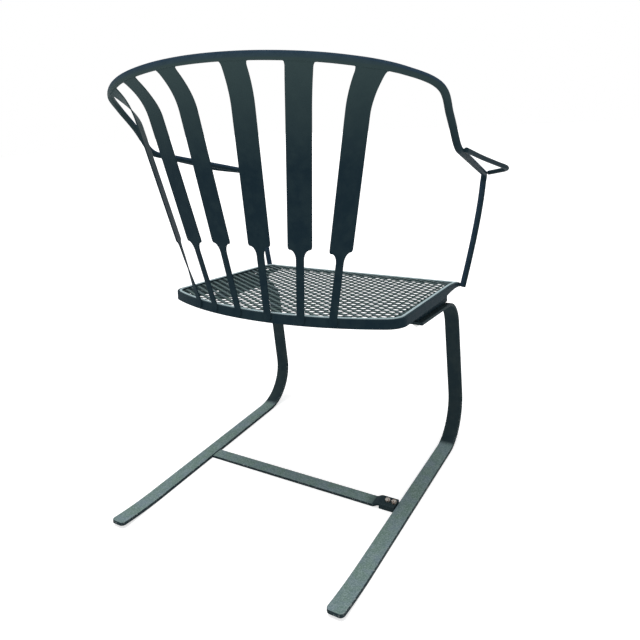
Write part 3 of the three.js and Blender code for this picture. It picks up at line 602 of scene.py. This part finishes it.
def band_pass(value, low, high):
    return value.tree.put("ShaderNodeMapRange", Value=value, From_Min=low, From_Max=high, clamp=True)


def mixed(share, first, second):
    return share.tree.put("ShaderNodeMix", {0: share, 6: first, 7: second}, 2, data_type="RGBA")


def bump(height, strength, distance):
    return height.tree.put("ShaderNodeBump", Height=height, Strength=strength, Distance=distance)


def mottle_group():
    """Grain and blotches of brushed enamel that has stood outdoors."""
    inputs = {"Vector": "Vector", "Grain": fine_grain, "Blotch": small_blotch}
    outputs = dict.fromkeys(("Grain mask", "Blotch mask", "Height"), "Float")
    group = Group("ShaderNodeTree", "enamel_mottle", inputs, outputs)
    grain = noise(group.given("Vector"), group.given("Grain"), 3.0, 0.6)
    blotch = noise(group.given("Vector"), group.given("Blotch"), 4.0, 0.6)
    group.result("Grain mask", band_pass(grain, 0.42, 0.68))
    group.result("Blotch mask", band_pass(blotch, 0.4, 0.65))
    group.result("Height", grain * 0.7 + blotch * 0.3)
    return group.data


def wear_group():
    """Where the paint has gone: along edges, and in a few chips on the faces."""
    inputs = {"Vector": "Vector", "Edge": 0.0, "Amount": 0.4, "Chips": 0.1}
    group = Group("ShaderNodeTree", "edge_wear", inputs, {"Worn": "Float", "Chipped": "Float"})
    broken = noise(group.given("Vector"), 260.0, 5.0, 0.7) + group.given("Amount") * 0.4
    group.result("Worn", group.given("Edge") * broken.maths("GREATER_THAN", 0.78))
    spots = noise(group.given("Vector"), 130.0, 6.0, 0.75) + group.given("Chips") * 0.3
    group.result("Chipped", spots.maths("GREATER_THAN", 0.82))
    return group.data


def new_material(name):
    material = bpy.data.materials.new(name)
    material.use_nodes = True
    tree = Tree(material.node_tree)
    return material, tree, tree.put("ShaderNodeTexCoord", out="Object")


mottling, wearing = mottle_group(), wear_group()


def enamel(
    name, colours=frame_colours, rubbing=0.1, chips=0.02, sky=(0.9, 0.99), least_sheen=0.0, sheen_tones=sky_sheen_tones,
    grain=fine_grain, blotch=small_blotch, roughness=0.4,
):
    """Dark outdoor enamel: mottled, with a painted sky reflection on faces that look up and painted light towards
    the top, rubbed along its edges.
    """
    material, tree, spot = new_material(name)
    links = {"Vector": spot, "Grain": grain, "Blotch": blotch}
    mottle = tree.put("ShaderNodeGroup", links, None, node_tree=mottling).outputs
    grains, blotches, height = (Flow(tree, mottle[key]) for key in ("Grain mask", "Blotch mask", "Height"))
    # The second attribute says how much painted sky reflection and edge wear a place gets.
    edge, chalk = (tree.put("ShaderNodeAttribute", out="Fac", attribute_name=key) for key in ("edge", "chalk"))
    edge *= chalk * (1 - hidden_edge_wear) + hidden_edge_wear
    links = {"Vector": spot, "Edge": edge, "Amount": rubbing, "Chips": chips}
    wear = tree.put("ShaderNodeGroup", links, None, node_tree=wearing).outputs
    base = mixed(blotches * 0.8, *colours)
    # Painted light: lighter towards the top of the back, by height.
    base = mixed(band_pass(spot.part("Z"), *painted_top_light_heights) * 0.9, base, painted_top_light)
    # Painted sky reflection: faces that look up take pale tones, as far as the attribute or the least amount
    # allows.
    painted_sheen = band_pass(tree.put("ShaderNodeNewGeometry", out="Normal").part("Z"), *sky)
    painted_sheen *= chalk.maths("MAXIMUM", least_sheen)
    base = mixed(painted_sheen, base, mixed(grains * 0.6, mixed(blotches, sheen_tones[0], sheen_tones[1]), sheen_tones[2]))
    for key, strength in (("Worn", 0.7), ("Chipped", 0.8)):
        base = mixed(Flow(tree, wear[key]) * strength, base, bare_steel)
    rough = blotches * 0.1 + roughness + painted_sheen * 0.2
    relief = bump(height, 0.25, 0.0006)
    tree.shade(Base_Color=base, Roughness=rough, Normal=relief, Specular_IOR_Level=enamel_gloss)
    return material


def plated(name, bright, rust, rust_amount):
    """Plated steel with rust breaking through."""
    material, tree, spot = new_material(name)
    patches = noise(spot, 420.0, 6.0, 0.7)
    rusty = band_pass(patches, 0.72 - 0.4 * rust_amount, 0.8 - 0.4 * rust_amount)
    tree.shade(Base_Color=mixed(rusty, bright, rust), Metallic=rusty * -0.85 + 0.9)
    tree.shade(Roughness=rusty * 0.45 + 0.32, Normal=bump(patches, 0.3, 0.0004))
    return material


frame_enamel = enamel("frame_enamel")
# Painted sky reflection on the level tops of the runners and the crossbar.
runner_enamel = enamel("runner_enamel", bar_colours, 0.5, 0.1, sky=(0.955, 0.99), grain=380.0, blotch=30.0)
# Painted sky reflection on the upper side of the rim rod.
rim_enamel = enamel("rim_enamel", sky=(0.35, 0.75), sheen_tones=rim_sheen_tones)
# Painted sky reflection at half strength on the net strands' upward faces.
net_enamel = enamel("net_enamel", bar_colours, 0.3, 0.1, sky=(0.6, 0.95), least_sheen=0.5)
# Painted bluish sky reflection on the rail's upper side.
rail_enamel = enamel("rail_enamel", sky=(-0.05, 0.18), least_sheen=0.85, sheen_tones=rail_sheen_tones)
weld_enamel = enamel("weld_enamel", chips=0.1, roughness=0.45)
seat_plating = plated("seat_plating", (0.6, 0.61, 0.6, 1), (0.1, 0.045, 0.02, 1), 0.2)
runner_plating = plated("runner_plating", (0.5, 0.49, 0.46, 1), (0.16, 0.07, 0.03, 1), 0.55)
plating = {"base": runner_plating, "seat": seat_plating}

rolled, net_maker, turned, beads = rolled_tree(), net_tree(), turned_tree(), bead_tree()
bar_section = flat_bar_section("bar_section", bar_rounding, 0.0022)
band_section = flat_bar_section("band_section", band_rounding, 0.0009)
slat_section = flat_bar_section("slat_section", slat_rounding, 0.0007)
rail_section = pipe_section("rail_section", 24)
rod_section = pipe_section("rod_section", 14)


def rolled_piece(name, rows, section, body, material, closed=False):
    """A rolled piece, its wide faces shaded flat and its small rounded edges taking the turn."""
    source = new_mesh(name, rows["centre"], chain(len(rows["centre"]), closed), **rows)
    place = body_place[body]
    piece = shaped(name, source, rolled, place, Section=section, Closed=closed, Material=material)
    flats = piece.modifiers.new("flats", "WEIGHTED_NORMAL")
    flats.keep_sharp = True
    return settled(piece, flats)


def give(piece, body, slot, *nodes):
    """The piece rides on its body and stands for its CAD nodes; the slot is not used."""
    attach(piece, body)
    if nodes:
        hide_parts(*nodes)
    return piece


def steel(name, rows, section, node, material=frame_enamel, body="seat", closed=False):
    """A rolled piece that stands for a painted CAD node."""
    give(rolled_piece(name, rows, section, body, material, closed), body, "frame_paint", node)


def bar_rows(centre, across, width, thickness):
    """Rows of a level bar of flat steel."""
    return rounded_ends(line_rows(centre, across, (0, 0, 1), width / 2, thickness / 2), bar_rounding)


def turned_piece(name, places, bottom, top, diameter, facets, body="seat", chamfer=turned_chamfer, seed=1):
    """Equal plated pieces at the given places; six facets have their diameter over the corners."""
    sizes = {"Diameter": diameter, "Height": top - bottom, "Chamfer": chamfer}
    sizes["Chamfer_share"] = 1 - 2 * chamfer / diameter if facets > 6 else hexagon_chamfer_share
    source = new_mesh(name, [(x, y, (bottom + top) / 2) for x, y in places])
    more = {"Sides": facets, "Turn_seed": seed, "Material": plating[body]}
    return shaped(name, source, turned, body_place[body], **sizes, **more)


def over_corners(flats):
    return flats * 2 / math.sqrt(3)


# Spring legs
def leg_line():
    """Outer face of a leg from the runner's tip to the arm's end: y and z, with the inward normals."""
    rise_y, centre_y = runner_tip_y - runner_rise_length, leg_front_y + lower_bend_radius
    tip = runner_corner_radius / runner_rise_length * (1 - np.cos(np.linspace(0, math.pi / 2, 9)))
    t = np.concatenate([1 - tip, np.linspace(1 - tip[-1], 0, 14)[1:]])
    rise = np.column_stack([rise_y + t * runner_rise_length, runner_tip_rise * t * t])
    slopes = 2 * t * runner_tip_rise / runner_rise_length
    flat = np.linspace((rise_y, 0), (centre_y, 0), 14)[1:-1]
    full = math.pi / 2 + upright_lean
    bend = arc((centre_y, lower_bend_radius), -lower_bend_radius, 0, full, 47)
    start, normal = bend[0][-1], bend[1][-1]
    up = np.array([math.sin(upright_lean), math.cos(upright_lean)])
    half_turn = (math.pi / 2 - seat_pitch - upright_lean) / 2
    length = (upper_bend_top - upper_bend_radius - start[1] - upper_bend_radius * normal[1]) / up[1]
    end = start + up * (length - (hook_radius - upper_bend_radius) * math.tan(half_turn))
    hook = arc(end + hook_radius * normal, -hook_radius, full, math.pi - seat_pitch, 35)
    y, z = hook[0][-1]
    arm = np.linspace((y, z), (arm_rear_y, z + (arm_rear_y - y) * math.tan(seat_pitch)), 8)
    rise_normals = np.array([unit((-slope, 1)) for slope in slopes])
    upright = np.linspace(start, end, 40)[1:-1]
    return strung((rise, rise_normals), (flat, (0, 1)), bend, (upright, normal), hook, (arm[1:], hook[1][-1]))


def spring_leg(side, word):
    places, normals = leg_line()
    x = np.full(len(places), side * leg_spacing / 2)
    centre = np.column_stack([x, places + normals * bar_thickness / 2])
    into_corner = np.clip((runner_tip_y - centre[:, 1]) / runner_corner_radius, 0, 1)
    cut = runner_corner_radius * (1 - np.sqrt(1 - (1 - into_corner) ** 2))
    face = np.column_stack([x * 0, normals])
    rows = line_rows(centre, (1, 0, 0), face, bar_width / 2 - cut, bar_thickness / 2)
    # Painted sky reflection and edge wear on the runners, fading out higher up the leg.
    rows["chalk"] = 1 - ease((centre[:, 2] - sheen_and_wear_fade_from) / sheen_and_wear_fade_height)
    rows = rounded_ends(rows, bar_rounding)
    piece = rolled_piece(f"spring_leg_{word}", rows, bar_section, "base", runner_enamel)
    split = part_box(f"spring_lower_{word}")[1].z
    y = leg_front_y + chair_shift
    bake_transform(piece, "base", "seat", start=(0, y, split - flex_reach), end=(0, y, split + flex_reach))
    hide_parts(f"spring_lower_{word}", f"spring_upper_{word}")


# Seat pan
def pan_side():
    """The lean of the pan's sides, and their distance from the middle at a place along the seat."""
    lean = math.atan((seat_rear_width - seat_front_width) / 2 / (seat_rear_y - seat_front_y))
    return lean, lambda y: seat_front_width / 2 + (y - seat_front_y) * math.tan(lean)


def front_corner():
    """Centre of the pan's front corner."""
    lean, side_x = pan_side()
    y = seat_front_y + front_corner_radius
    return np.array([side_x(y) - front_corner_radius / math.cos(lean), y])


def pan_half():
    """The sitter's left half of the pan's outline, from the middle of the front to the middle of the rear."""
    lean, side_x = pan_side()
    front = arc(front_corner(), front_corner_radius, math.pi, math.pi / 2 + lean, 14)
    arc_y = seat_rear_y - rear_arc_radius
    corner = np.array([0.0, seat_rear_y - rear_corner_radius])
    for _ in range(40):
        corner[0] = side_x(corner[1]) - rear_corner_radius / math.cos(lean)
        corner[1] = arc_y + math.sqrt((rear_arc_radius - rear_corner_radius) ** 2 - corner[0] ** 2)
    meet = math.atan2(corner[0], corner[1] - arc_y)
    rear = arc(corner, rear_corner_radius, math.pi / 2 + lean, meet, 16)
    back, back_normals = arc((0, arc_y), rear_arc_radius, meet, 0, 30)
    edge = np.linspace((0, seat_front_y), front[0][0], 14, endpoint=False)
    side = np.linspace(front[0][-1], rear[0][0], 30)[1:-1]
    return strung((edge, (0, -1)), front, (side, front[1][-1]), rear, (back[1:], back_normals[1:]))


def pan_outline(inset):
    points, normals = (np.concatenate([half, half[1:-1][::-1] * (-1, 1)]) for half in pan_half())
    return points - normals * inset, normals


def pan_at(x, inset, rear):
    """Where the inset outline passes a distance from the middle, in front or at the rear: y and the normal."""
    points, normals = pan_half()
    table = np.column_stack([points - normals * inset, normals])[(points[:, 1] > 0) == rear]
    table = table[np.argsort(table[:, 0])]
    return [np.interp(x, table[:, 0], table[:, i]) for i in (1, 2, 3)]


def hoop(inset, level, half_width, half_thickness):
    """Rows round the pan at an inset from its outline, at a level under its top, with the dip in front."""
    points, normals = pan_outline(inset)
    into_dip = 1 - (pan_outline(0)[0][:, 1] - seat_front_y) / dip_length
    centre = np.column_stack([points, level - dip_depth * np.maximum(into_dip, 0) ** 2])
    return line_rows(centre, (0, 0, 1), np.pad(normals, ((0, 0), (0, 1))), half_width, half_thickness)


def seat_pan():
    from_front = pan_outline(0)[0][:, 1] - seat_front_y
    heights = band_height - band_taper * ease(1 - from_front / band_taper_length)
    band = hoop(band_thickness / 2, -heights / 2, heights / 2, band_thickness / 2)
    steel("pan_band", band, band_section, "seat_band", closed=True)
    inset = band_thickness + fit_gap + rim_diameter / 2
    rim = hoop(inset, rim_rise - rim_diameter / 2, rim_diameter / 2, rim_diameter / 2)
    # The whole rim takes the painted sky reflection and full edge wear.
    rim["chalk"] = np.ones(len(rim["centre"]))
    steel("pan_rim_rod", rim, rod_section, "seat_rim", rim_enamel, closed=True)
    field = np.pad(pan_outline(inset + net_clearance)[0], ((0, 0), (0, 1)))
    plate = new_mesh("net_field", field, faces=[range(len(field))])
    level = seat_place @ Matrix.Translation((0, 0, net_level))
    net = shaped("seat_net", plate, net_maker, level, Material=net_enamel)
    give(net, "seat", "net_paint", "seat_mesh")


# Bearers, packing strips and bolts under the seat
def seat_fixings():
    edge = bearer_x + bearer_width / 2, band_thickness + fit_gap
    front, rear = (pan_at(*edge, rear=rear)[0] for rear in (False, True))
    for side, word in sides:
        centre = np.linspace((side * bearer_x, front, 0), (side * bearer_x, rear, 0), 30)
        lift = bearer_lift * ease(1 - (centre[:, 1] - front) / bearer_lift_length)
        centre[:, 2] = -band_height + bearer_thickness / 2 + lift
        rows = bar_rows(centre, (1, 0, 0), bearer_width, bearer_thickness)
        steel(f"net_bearer_{word}", rows, bar_section, f"bearer_{word}")

    y, z = leg_line()[0][-1]
    arm_end = Matrix.Rotation(-seat_pitch, 4, "X") @ Vector((0, y, z - seat_height))
    rear_y, arm_low = arm_end.y - seat_bolt_rear_inset, arm_end.z - bar_thickness
    front_y = rear_y - seat_bolt_spacing
    places = [(side * bearer_x, y) for side, _ in sides for y in (rear_y, front_y)]

    def fixing(name, kind, *parts, slot="plated_steel"):
        nodes = [f"{kind}_{word}_{end}" for _, word in sides for end in ("rear", "front")]
        give(joined(name, parts), "seat", slot, *nodes)

    low, high = arm_end.z + fit_gap, -band_height - fit_gap
    strips = []
    for side, _ in sides:
        x, level = side * bearer_x, (low + high) / 2
        line = np.linspace((x, front_y - packing_overhang, level), (x, rear_y + packing_overhang, level), 6)
        rows = bar_rows(line, (1, 0, 0), packing_width, high - low)
        strips.append(rolled_piece("packing_strip", rows, bar_section, "seat", frame_enamel))
    fixing("seat_spacers", "spacer", *strips, slot="frame_paint")
    corners = over_corners(seat_nut_flats)
    head_low = -band_height + bearer_thickness + fit_gap
    shank_low = arm_low - washer_thickness - seat_nut_height - thread_length
    top = head_low + seat_head_height
    head = turned_piece("bolt_head", places, head_low, top, corners, 6, seed=5)
    shank = turned_piece("bolt_shank", places, shank_low, head_low + fit_gap, seat_bolt_diameter, 20)
    fixing("seat_bolts", "seat_bolt", head, shank)
    top = arm_low - fit_gap
    bottom = top - washer_thickness
    washer = turned_piece("washer_disc", places, bottom, top, washer_diameter, 28, chamfer=washer_chamfer)
    fixing("seat_washers", "seat_washer", washer)
    top = bottom - fit_gap
    nut = turned_piece("nut_block", places, top - seat_nut_height, top, corners, 6, seed=9)
    fixing("seat_nuts", "seat_nut", nut)


# Crossbar
def crossbar_pieces():
    left = leg_inside - fit_gap
    right = -left
    foot, raised, middle = right + lug_length + fit_gap, crossbar_thickness + fit_gap, crossbar_thickness / 2
    step = foot + joggle_length
    x = np.concatenate([np.linspace(left, step, 24), np.linspace(step, foot, 12)[1:], [right]])
    z = middle + raised * ease((step - x) / joggle_length)
    centre = np.column_stack([x, np.full(len(x), crossbar_y), z])
    face = [unit(np.cross(along, (0, 1, 0))) for along in np.gradient(centre, axis=0)]
    rows = line_rows(centre, (0, 1, 0), face, crossbar_width / 2, crossbar_thickness / 2)
    # Painted shade: no painted sky reflection and little edge wear towards the right-hand lug, so this end stays
    # dark like a cast shadow.
    rows["chalk"] = ease((x - foot) / lug_length)
    rows = rounded_ends(rows, bar_rounding)
    steel("crossbar_strap", rows, bar_section, "crossbar", runner_enamel, "base")
    centre = np.linspace((right, crossbar_y, middle), (right + lug_length, crossbar_y, middle), 4)
    rows = bar_rows(centre, (0, 1, 0), crossbar_width, crossbar_thickness)
    steel("crossbar_tab", rows, bar_section, "crossbar_lug", runner_enamel, "base")
    bolt_x, half = right + lug_length / 2 - crossbar_bolt_shift, crossbar_bolt_spacing / 2
    places = [(bolt_x + shift, crossbar_y) for shift in (-half, half)]
    bottom = 2 * raised
    top = bottom + crossbar_nut_height
    corners = over_corners(crossbar_nut_flats)
    nut = turned_piece("crossbar_nuts", places, bottom, top, corners, 6, "base", seed=4)
    give(nut, "base", "plated_steel", "crossbar_nut_1", "crossbar_nut_2")
    sizes = fit_gap, top + fit_gap, crossbar_bolt_diameter
    bolt = turned_piece("crossbar_bolts", places, *sizes, 20, "base")
    give(bolt, "base", "plated_steel", "crossbar_bolt_1", "crossbar_bolt_2")


# Rail of the back, arms and posts
def rail_knots():
    low, high = np.array([0, elbow_y, elbow_height]), np.array([rail_half_width, rail_reach, rail_height])
    shares = np.column_stack([back_x_shares, back_y_shares, back_z_shares])
    return [*(low + shares * (high - low)), low + (rail_half_width - fit_gap, 0, 0)]


def post_foot():
    corner = front_corner()
    reach = front_corner_radius + rail_diameter / 2 + post_gap
    x = corner[0] + reach * math.cos(post_foot_angle)
    return np.array([x, corner[1] - reach * math.sin(post_foot_angle), post_foot_height])


def rail_line():
    """Middle of one half of the rail, from the middle of the back to the post's foot."""
    knots = rail_knots()
    left = [knot * (-1, 1, 1) for knot in knots[1:][::-1]]
    whole = smooth_line([*left, *knots], 401)[200:]
    elbow, foot = knots[-1], post_foot()
    upright = whole[np.linalg.norm(whole - elbow, axis=1) > elbow_trim]
    arm = corner_bend(elbow, upright[-1], post_top, elbow_trim)
    post = corner_bend(post_top, elbow, foot, post_bend_trim)
    straight_arm = np.linspace(arm[-1], post[0], 24)[1:-1]
    bow = post[-1] + (foot - post[-1]) / 3 + (post_bow, 0, 0)
    return np.concatenate([upright, arm, straight_arm, post, drawn(post[-1], bow, foot, 24)[1:]])


def rail_rows():
    line = rail_line()
    across, face = carried_sides(line, (0, 1, 0), (1, 0, 0))
    flatness = 1 - ease((travelled(line) - rail_flat_length) / rail_taper_length)
    thickness = rail_diameter + flatness * (rail_flat_thickness - rail_diameter)
    height = rail_diameter + flatness * (rail_flat_height - rail_diameter)
    return line_rows(line, across, face, thickness / 2, height / 2, flatness)


def back_rail():
    half = rail_rows()
    other = mirrored(half)
    rows = {key: np.concatenate([other[key][1:][::-1], half[key]]) for key in half}
    rows = rounded_ends(rows, rail_end_rounding)
    steel("back_and_arm_rail", rows, rail_section, "back_rail", rail_enamel)


def rail_underside(x):
    """Place under the rail above a distance from the middle, with its heading in plan and its slope."""
    rows = rail_rows()
    line = rows["centre"]
    i = int(np.argmax(line[:, 0] >= x))
    share = (x - line[i - 1, 0]) / (line[i, 0] - line[i - 1, 0])
    place = line[i - 1] + share * (line[i] - line[i - 1])
    along = unit(line[i + 2] - line[i - 3])
    normal = unit(np.array([0, 0, 1]) - along * along[2])
    sizes = rows["half_width"][i], rows["half_thickness"][i]
    reach = squarer(arc((0, 0), 1, 0, 2 * math.pi, 48)[1])[:, ::-1] * sizes
    depth = -np.min(reach @ (rows["across"][i] @ normal, rows["face"][i] @ normal))
    place[2] -= (depth - slat_top_sink) / normal[2]
    return place, math.atan2(-along[1], along[0]), along[2] / math.hypot(along[0], along[1])


# Slats
def slat_half_width(z, shoulder):
    """Half a slat's width at a height: round foot, neck, hollow shoulder, then the full width."""
    neck, wide = slat_neck_width / 2, slat_width / 2
    corner = wide - shoulder_round / 2
    if z <= 0:
        t = -z / slat_lap
        return neck if t < 0.5 else neck * math.sqrt(max(1 - (2 * t - 1) ** 2, 0.02))
    if z < shoulder:
        return neck
    t = (z - shoulder) / shoulder_length
    if t < 1:
        return neck + (corner - neck) * (1 - math.sqrt(1 - t * t))
    u = min((z - shoulder - shoulder_length) / shoulder_round, 1)
    return corner + (wide - corner) * math.sqrt(1 - (1 - u) ** 2)


def slat_rows(index, drift, top_drift):
    """One slat of the sitter's left half; the drifts move its foot and its top outwards."""
    x = slat_foot_x[index] + drift
    y, *normal = pan_at(x, 0, rear=True)
    normal = unit([*normal, 0])
    foot = (x, y, 0) + normal * (fit_gap + slat_thickness / 2)
    top, heading, slope = rail_underside(slat_top_x[index] + top_drift)
    knee = foot + slat_flare_reach_share * (top - foot)
    knee[2] = top[2] * slat_flare_height_share
    shoulder, face_angle = shoulder_height[index], slat_face_angle[index]
    shoulder_end, fillet_from = shoulder + shoulder_length, top[2] - slat_top_fillet
    heights = np.concatenate([
        -slat_lap * lap_shares,
        np.linspace(0, shoulder, 12)[1:],
        shoulder + shoulder_length * np.sin(np.linspace(0, math.pi / 2, 12))[1:],
        shoulder_end + shoulder_round * (1 - np.cos(np.linspace(0, math.pi / 2, 8)[1:])),
        np.linspace(shoulder_end + shoulder_round, fillet_from, 54)[1:],
        np.linspace(fillet_from, top[2], 9)[1:],
    ])
    foot_angle = math.atan2(normal[0], normal[1])
    straight = (knee - foot) / knee[2]
    past = np.maximum((heights - knee[2]) / (top[2] - knee[2]), 0)
    centre = foot + np.outer(np.maximum(heights, 0), straight) + np.outer(past**2, top - foot - straight * top[2])
    centre[:, 2] += np.minimum(heights, 0)
    angle = foot_angle + (face_angle - foot_angle) * ease(heights / shoulder) + (heading - face_angle) * ease(past)
    tilt = slope * ease(1 - (top[2] - heights) / slat_top_blend)
    across = np.column_stack([np.cos(angle), -np.sin(angle), tilt])
    face = np.column_stack([np.sin(angle), np.cos(angle), angle * 0])
    spread = np.maximum(heights - fillet_from, 0) / slat_top_fillet
    widths = [slat_half_width(z, shoulder) for z in heights] + slat_top_fillet / 3 * spread**2
    return line_rows(centre, across, face, widths, slat_thickness / 2)


def back_slats():
    order = [(2, 1), (1, 1), (0, 1), (0, -1), (1, -1), (2, -1)]
    tops, feet = [], []
    for number, ((index, side), drift, top_drift) in enumerate(zip(order, slat_foot_drift, slat_top_drift), 1):
        rows = slat_rows(index, side * drift, side * top_drift)
        rows = rows if side > 0 else mirrored(rows)
        steel(f"back_slat_{number}", rows, slat_section, f"slat_{number}")
        edges = [rows["centre"] + rows["across"] * rows["half_width"][:, None] * way for way in (-1, 1)]
        out = rows["face"] * slat_thickness / 2
        tops += [[edge[-2] + out[-2] * way for edge in edges] for way in (1, -1)]
        feet += [[edge[i] - out[i] for i in foot_weld_rows] for edge in edges]
    weld("slat_top_welds", tops, "seat", drop=0.0011, pitch=0.001, seed=3)
    weld("slat_foot_welds", feet, "seat", drop=0.0013, pitch=0.0011, seed=7)


# Arm loops
def on_arm(y):
    elbow = rail_knots()[-1]
    return elbow + (post_top - elbow) * (y - elbow[1]) / (post_top[1] - elbow[1])


def loop_rows():
    clear = (rail_diameter + loop_rod_diameter) / 2
    back, front = (np.array([on_arm(y)[0] + clear, y]) for y in (loop_back_y, loop_front_y))
    nose = np.array([loop_nose_x, loop_nose_y])
    knots = [back, *(back + (nose - back) * loop_back_shares), nose]
    knots += [*(nose + (front - nose) * loop_front_shares), front]
    line = smooth_line([(x, y, on_arm(y)[2]) for x, y in knots], 90)
    across, face = carried_sides(line, (0, 0, 1))
    half = loop_rod_diameter / 2
    return rounded_ends(line_rows(line, across, face, half, half), loop_end_rounding)


def arm_loops():
    for side, word in sides:
        rows = loop_rows() if side > 0 else mirrored(loop_rows())
        steel(f"arm_hairpin_{word}", rows, rod_section, f"arm_loop_{word}")


# Welds
def weld(name, lines, body, drop, pitch, seed):
    """Beads along short straight lines, each given by its two ends."""
    points = [point for line in lines for point in line]
    source = new_mesh(name, points, [(i, i + 1) for i in range(0, len(points), 2)])
    values = {"Drop_size": drop, "Drop_pitch": pitch, "Seed": seed, "Material": weld_enamel}
    give(shaped(name, source, beads, body_place[body], **values), body, "frame_paint")


def both_sides(lines):
    return np.concatenate([lines, np.array(lines) * (-1, 1, 1)])


def small_welds():
    rows = loop_rows()["centre"]
    reach = unit(post_top - rail_knots()[-1]) * loop_weld_reach
    touches = [place + (on_arm(place[1]) - place) * loop_weld_share for place in (rows[4], rows[-5])]
    ends = [[touch - reach, touch + reach] for touch in touches]
    weld("loop_welds", both_sides(ends), "seat", drop=0.0024, pitch=0.0015, seed=11)
    foot = post_foot()
    towards = unit(np.array([*(front_corner() - foot[:2]), 0]))
    spot = foot + towards * rail_diameter / 2
    aside = np.array([-towards[1], towards[0], 0]) * post_weld_spread
    posts = [[spot + aside * way + (0, 0, z) for z in (post_weld_low, post_weld_high)] for way in (-1, 1)]
    weld("post_welds", both_sides(posts), "seat", drop=0.0016, pitch=0.0012, seed=13)
    x, level = leg_inside - weld_sink, crossbar_thickness - weld_sink
    half = crossbar_width / 2 - crossbar_weld_inset
    lines = [[(side * x, crossbar_y + way * half, level) for way in (-1, 1)] for side, _ in sides]
    weld("crossbar_welds", lines, "base", drop=0.0019, pitch=0.0014, seed=17)


# Floor, light and camera
def seen_rays(tree):
    """1 for rays from the camera, off a mirror or through glass, 0 for light that spreads."""
    kinds = ("Camera", "Glossy", "Transmission")
    camera, glossy, through = (tree.put("ShaderNodeLightPath", out=f"Is {kind} Ray") for kind in kinds)
    return camera.maths("MAXIMUM", glossy.maths("MAXIMUM", through))


def studio():
    corners = [(x * floor_reach, y * floor_reach, 0) for x, y in ((-1, -1), (1, -1), (1, 1), (-1, 1))]
    floor = placed_object("studio_floor", new_mesh("studio_floor", corners, faces=[(0, 1, 2, 3)]))
    material, tree, _ = new_material("pale_floor")
    tree.shade(Base_Color=(0.8, 0.8, 0.8, 1), Roughness=0.9, Specular_IOR_Level=0.1)
    tree.shade(Emission_Color=(1, 1, 1, 1), Emission_Strength=seen_rays(tree) * floor_glow)
    floor.data.materials.append(material)

    world = bpy.data.worlds.new("soft_room")
    world.use_nodes = True
    bpy.context.scene.world = world
    tree = Tree(world.node_tree)
    tree.shade("Background", Color=(1, 1, 1, 1), Strength=seen_rays(tree) * (1 - room_light) + room_light)

    light = bpy.data.lights.new("high_window", "SUN")
    light.energy, light.angle = sun_energy, math.radians(sun_angle)
    lamp = placed_object("high_window", light)
    lamp.rotation_euler = Vector(sun_direction).to_track_quat("Z", "Y").to_euler()
    bpy.context.scene.view_settings.view_transform = "Standard"


def photo_camera():
    """Camera behind the chair, to the sitter's right, as in the photograph."""
    sin, cos = math.sin, math.cos
    level_ahead = np.array([sin(camera_yaw), -cos(camera_yaw), 0])
    ahead = level_ahead * cos(camera_pitch) - (0, 0, sin(camera_pitch))
    level = unit(np.cross(ahead, (0, 0, 1)))
    down = np.cross(ahead, level)
    right = level * cos(camera_roll) + down * sin(camera_roll)
    down = down * cos(camera_roll) - level * sin(camera_roll)
    data = bpy.data.cameras.new("photo_camera")
    data.sensor_width = sensor_width
    data.lens = photo_focal / photo_size * sensor_width
    data.shift_x = 0.5 - photo_centre_x / photo_size
    data.shift_y = photo_centre_y / photo_size - 0.5
    camera = placed_object("photo_camera", data)
    axes = Matrix([right, -down, -ahead]).transposed().to_4x4()
    camera.matrix_world = Matrix.Translation(camera_place) @ axes
    bpy.context.scene.camera = camera


photo_camera()
studio()
for side, word in sides:
    spring_leg(side, word)
crossbar_pieces()
seat_pan()
seat_fixings()
back_rail()
back_slats()
arm_loops()
small_welds()
for spare in (bar_section, band_section, slat_section, rail_section, rod_section):
    bpy.data.objects.remove(spare)
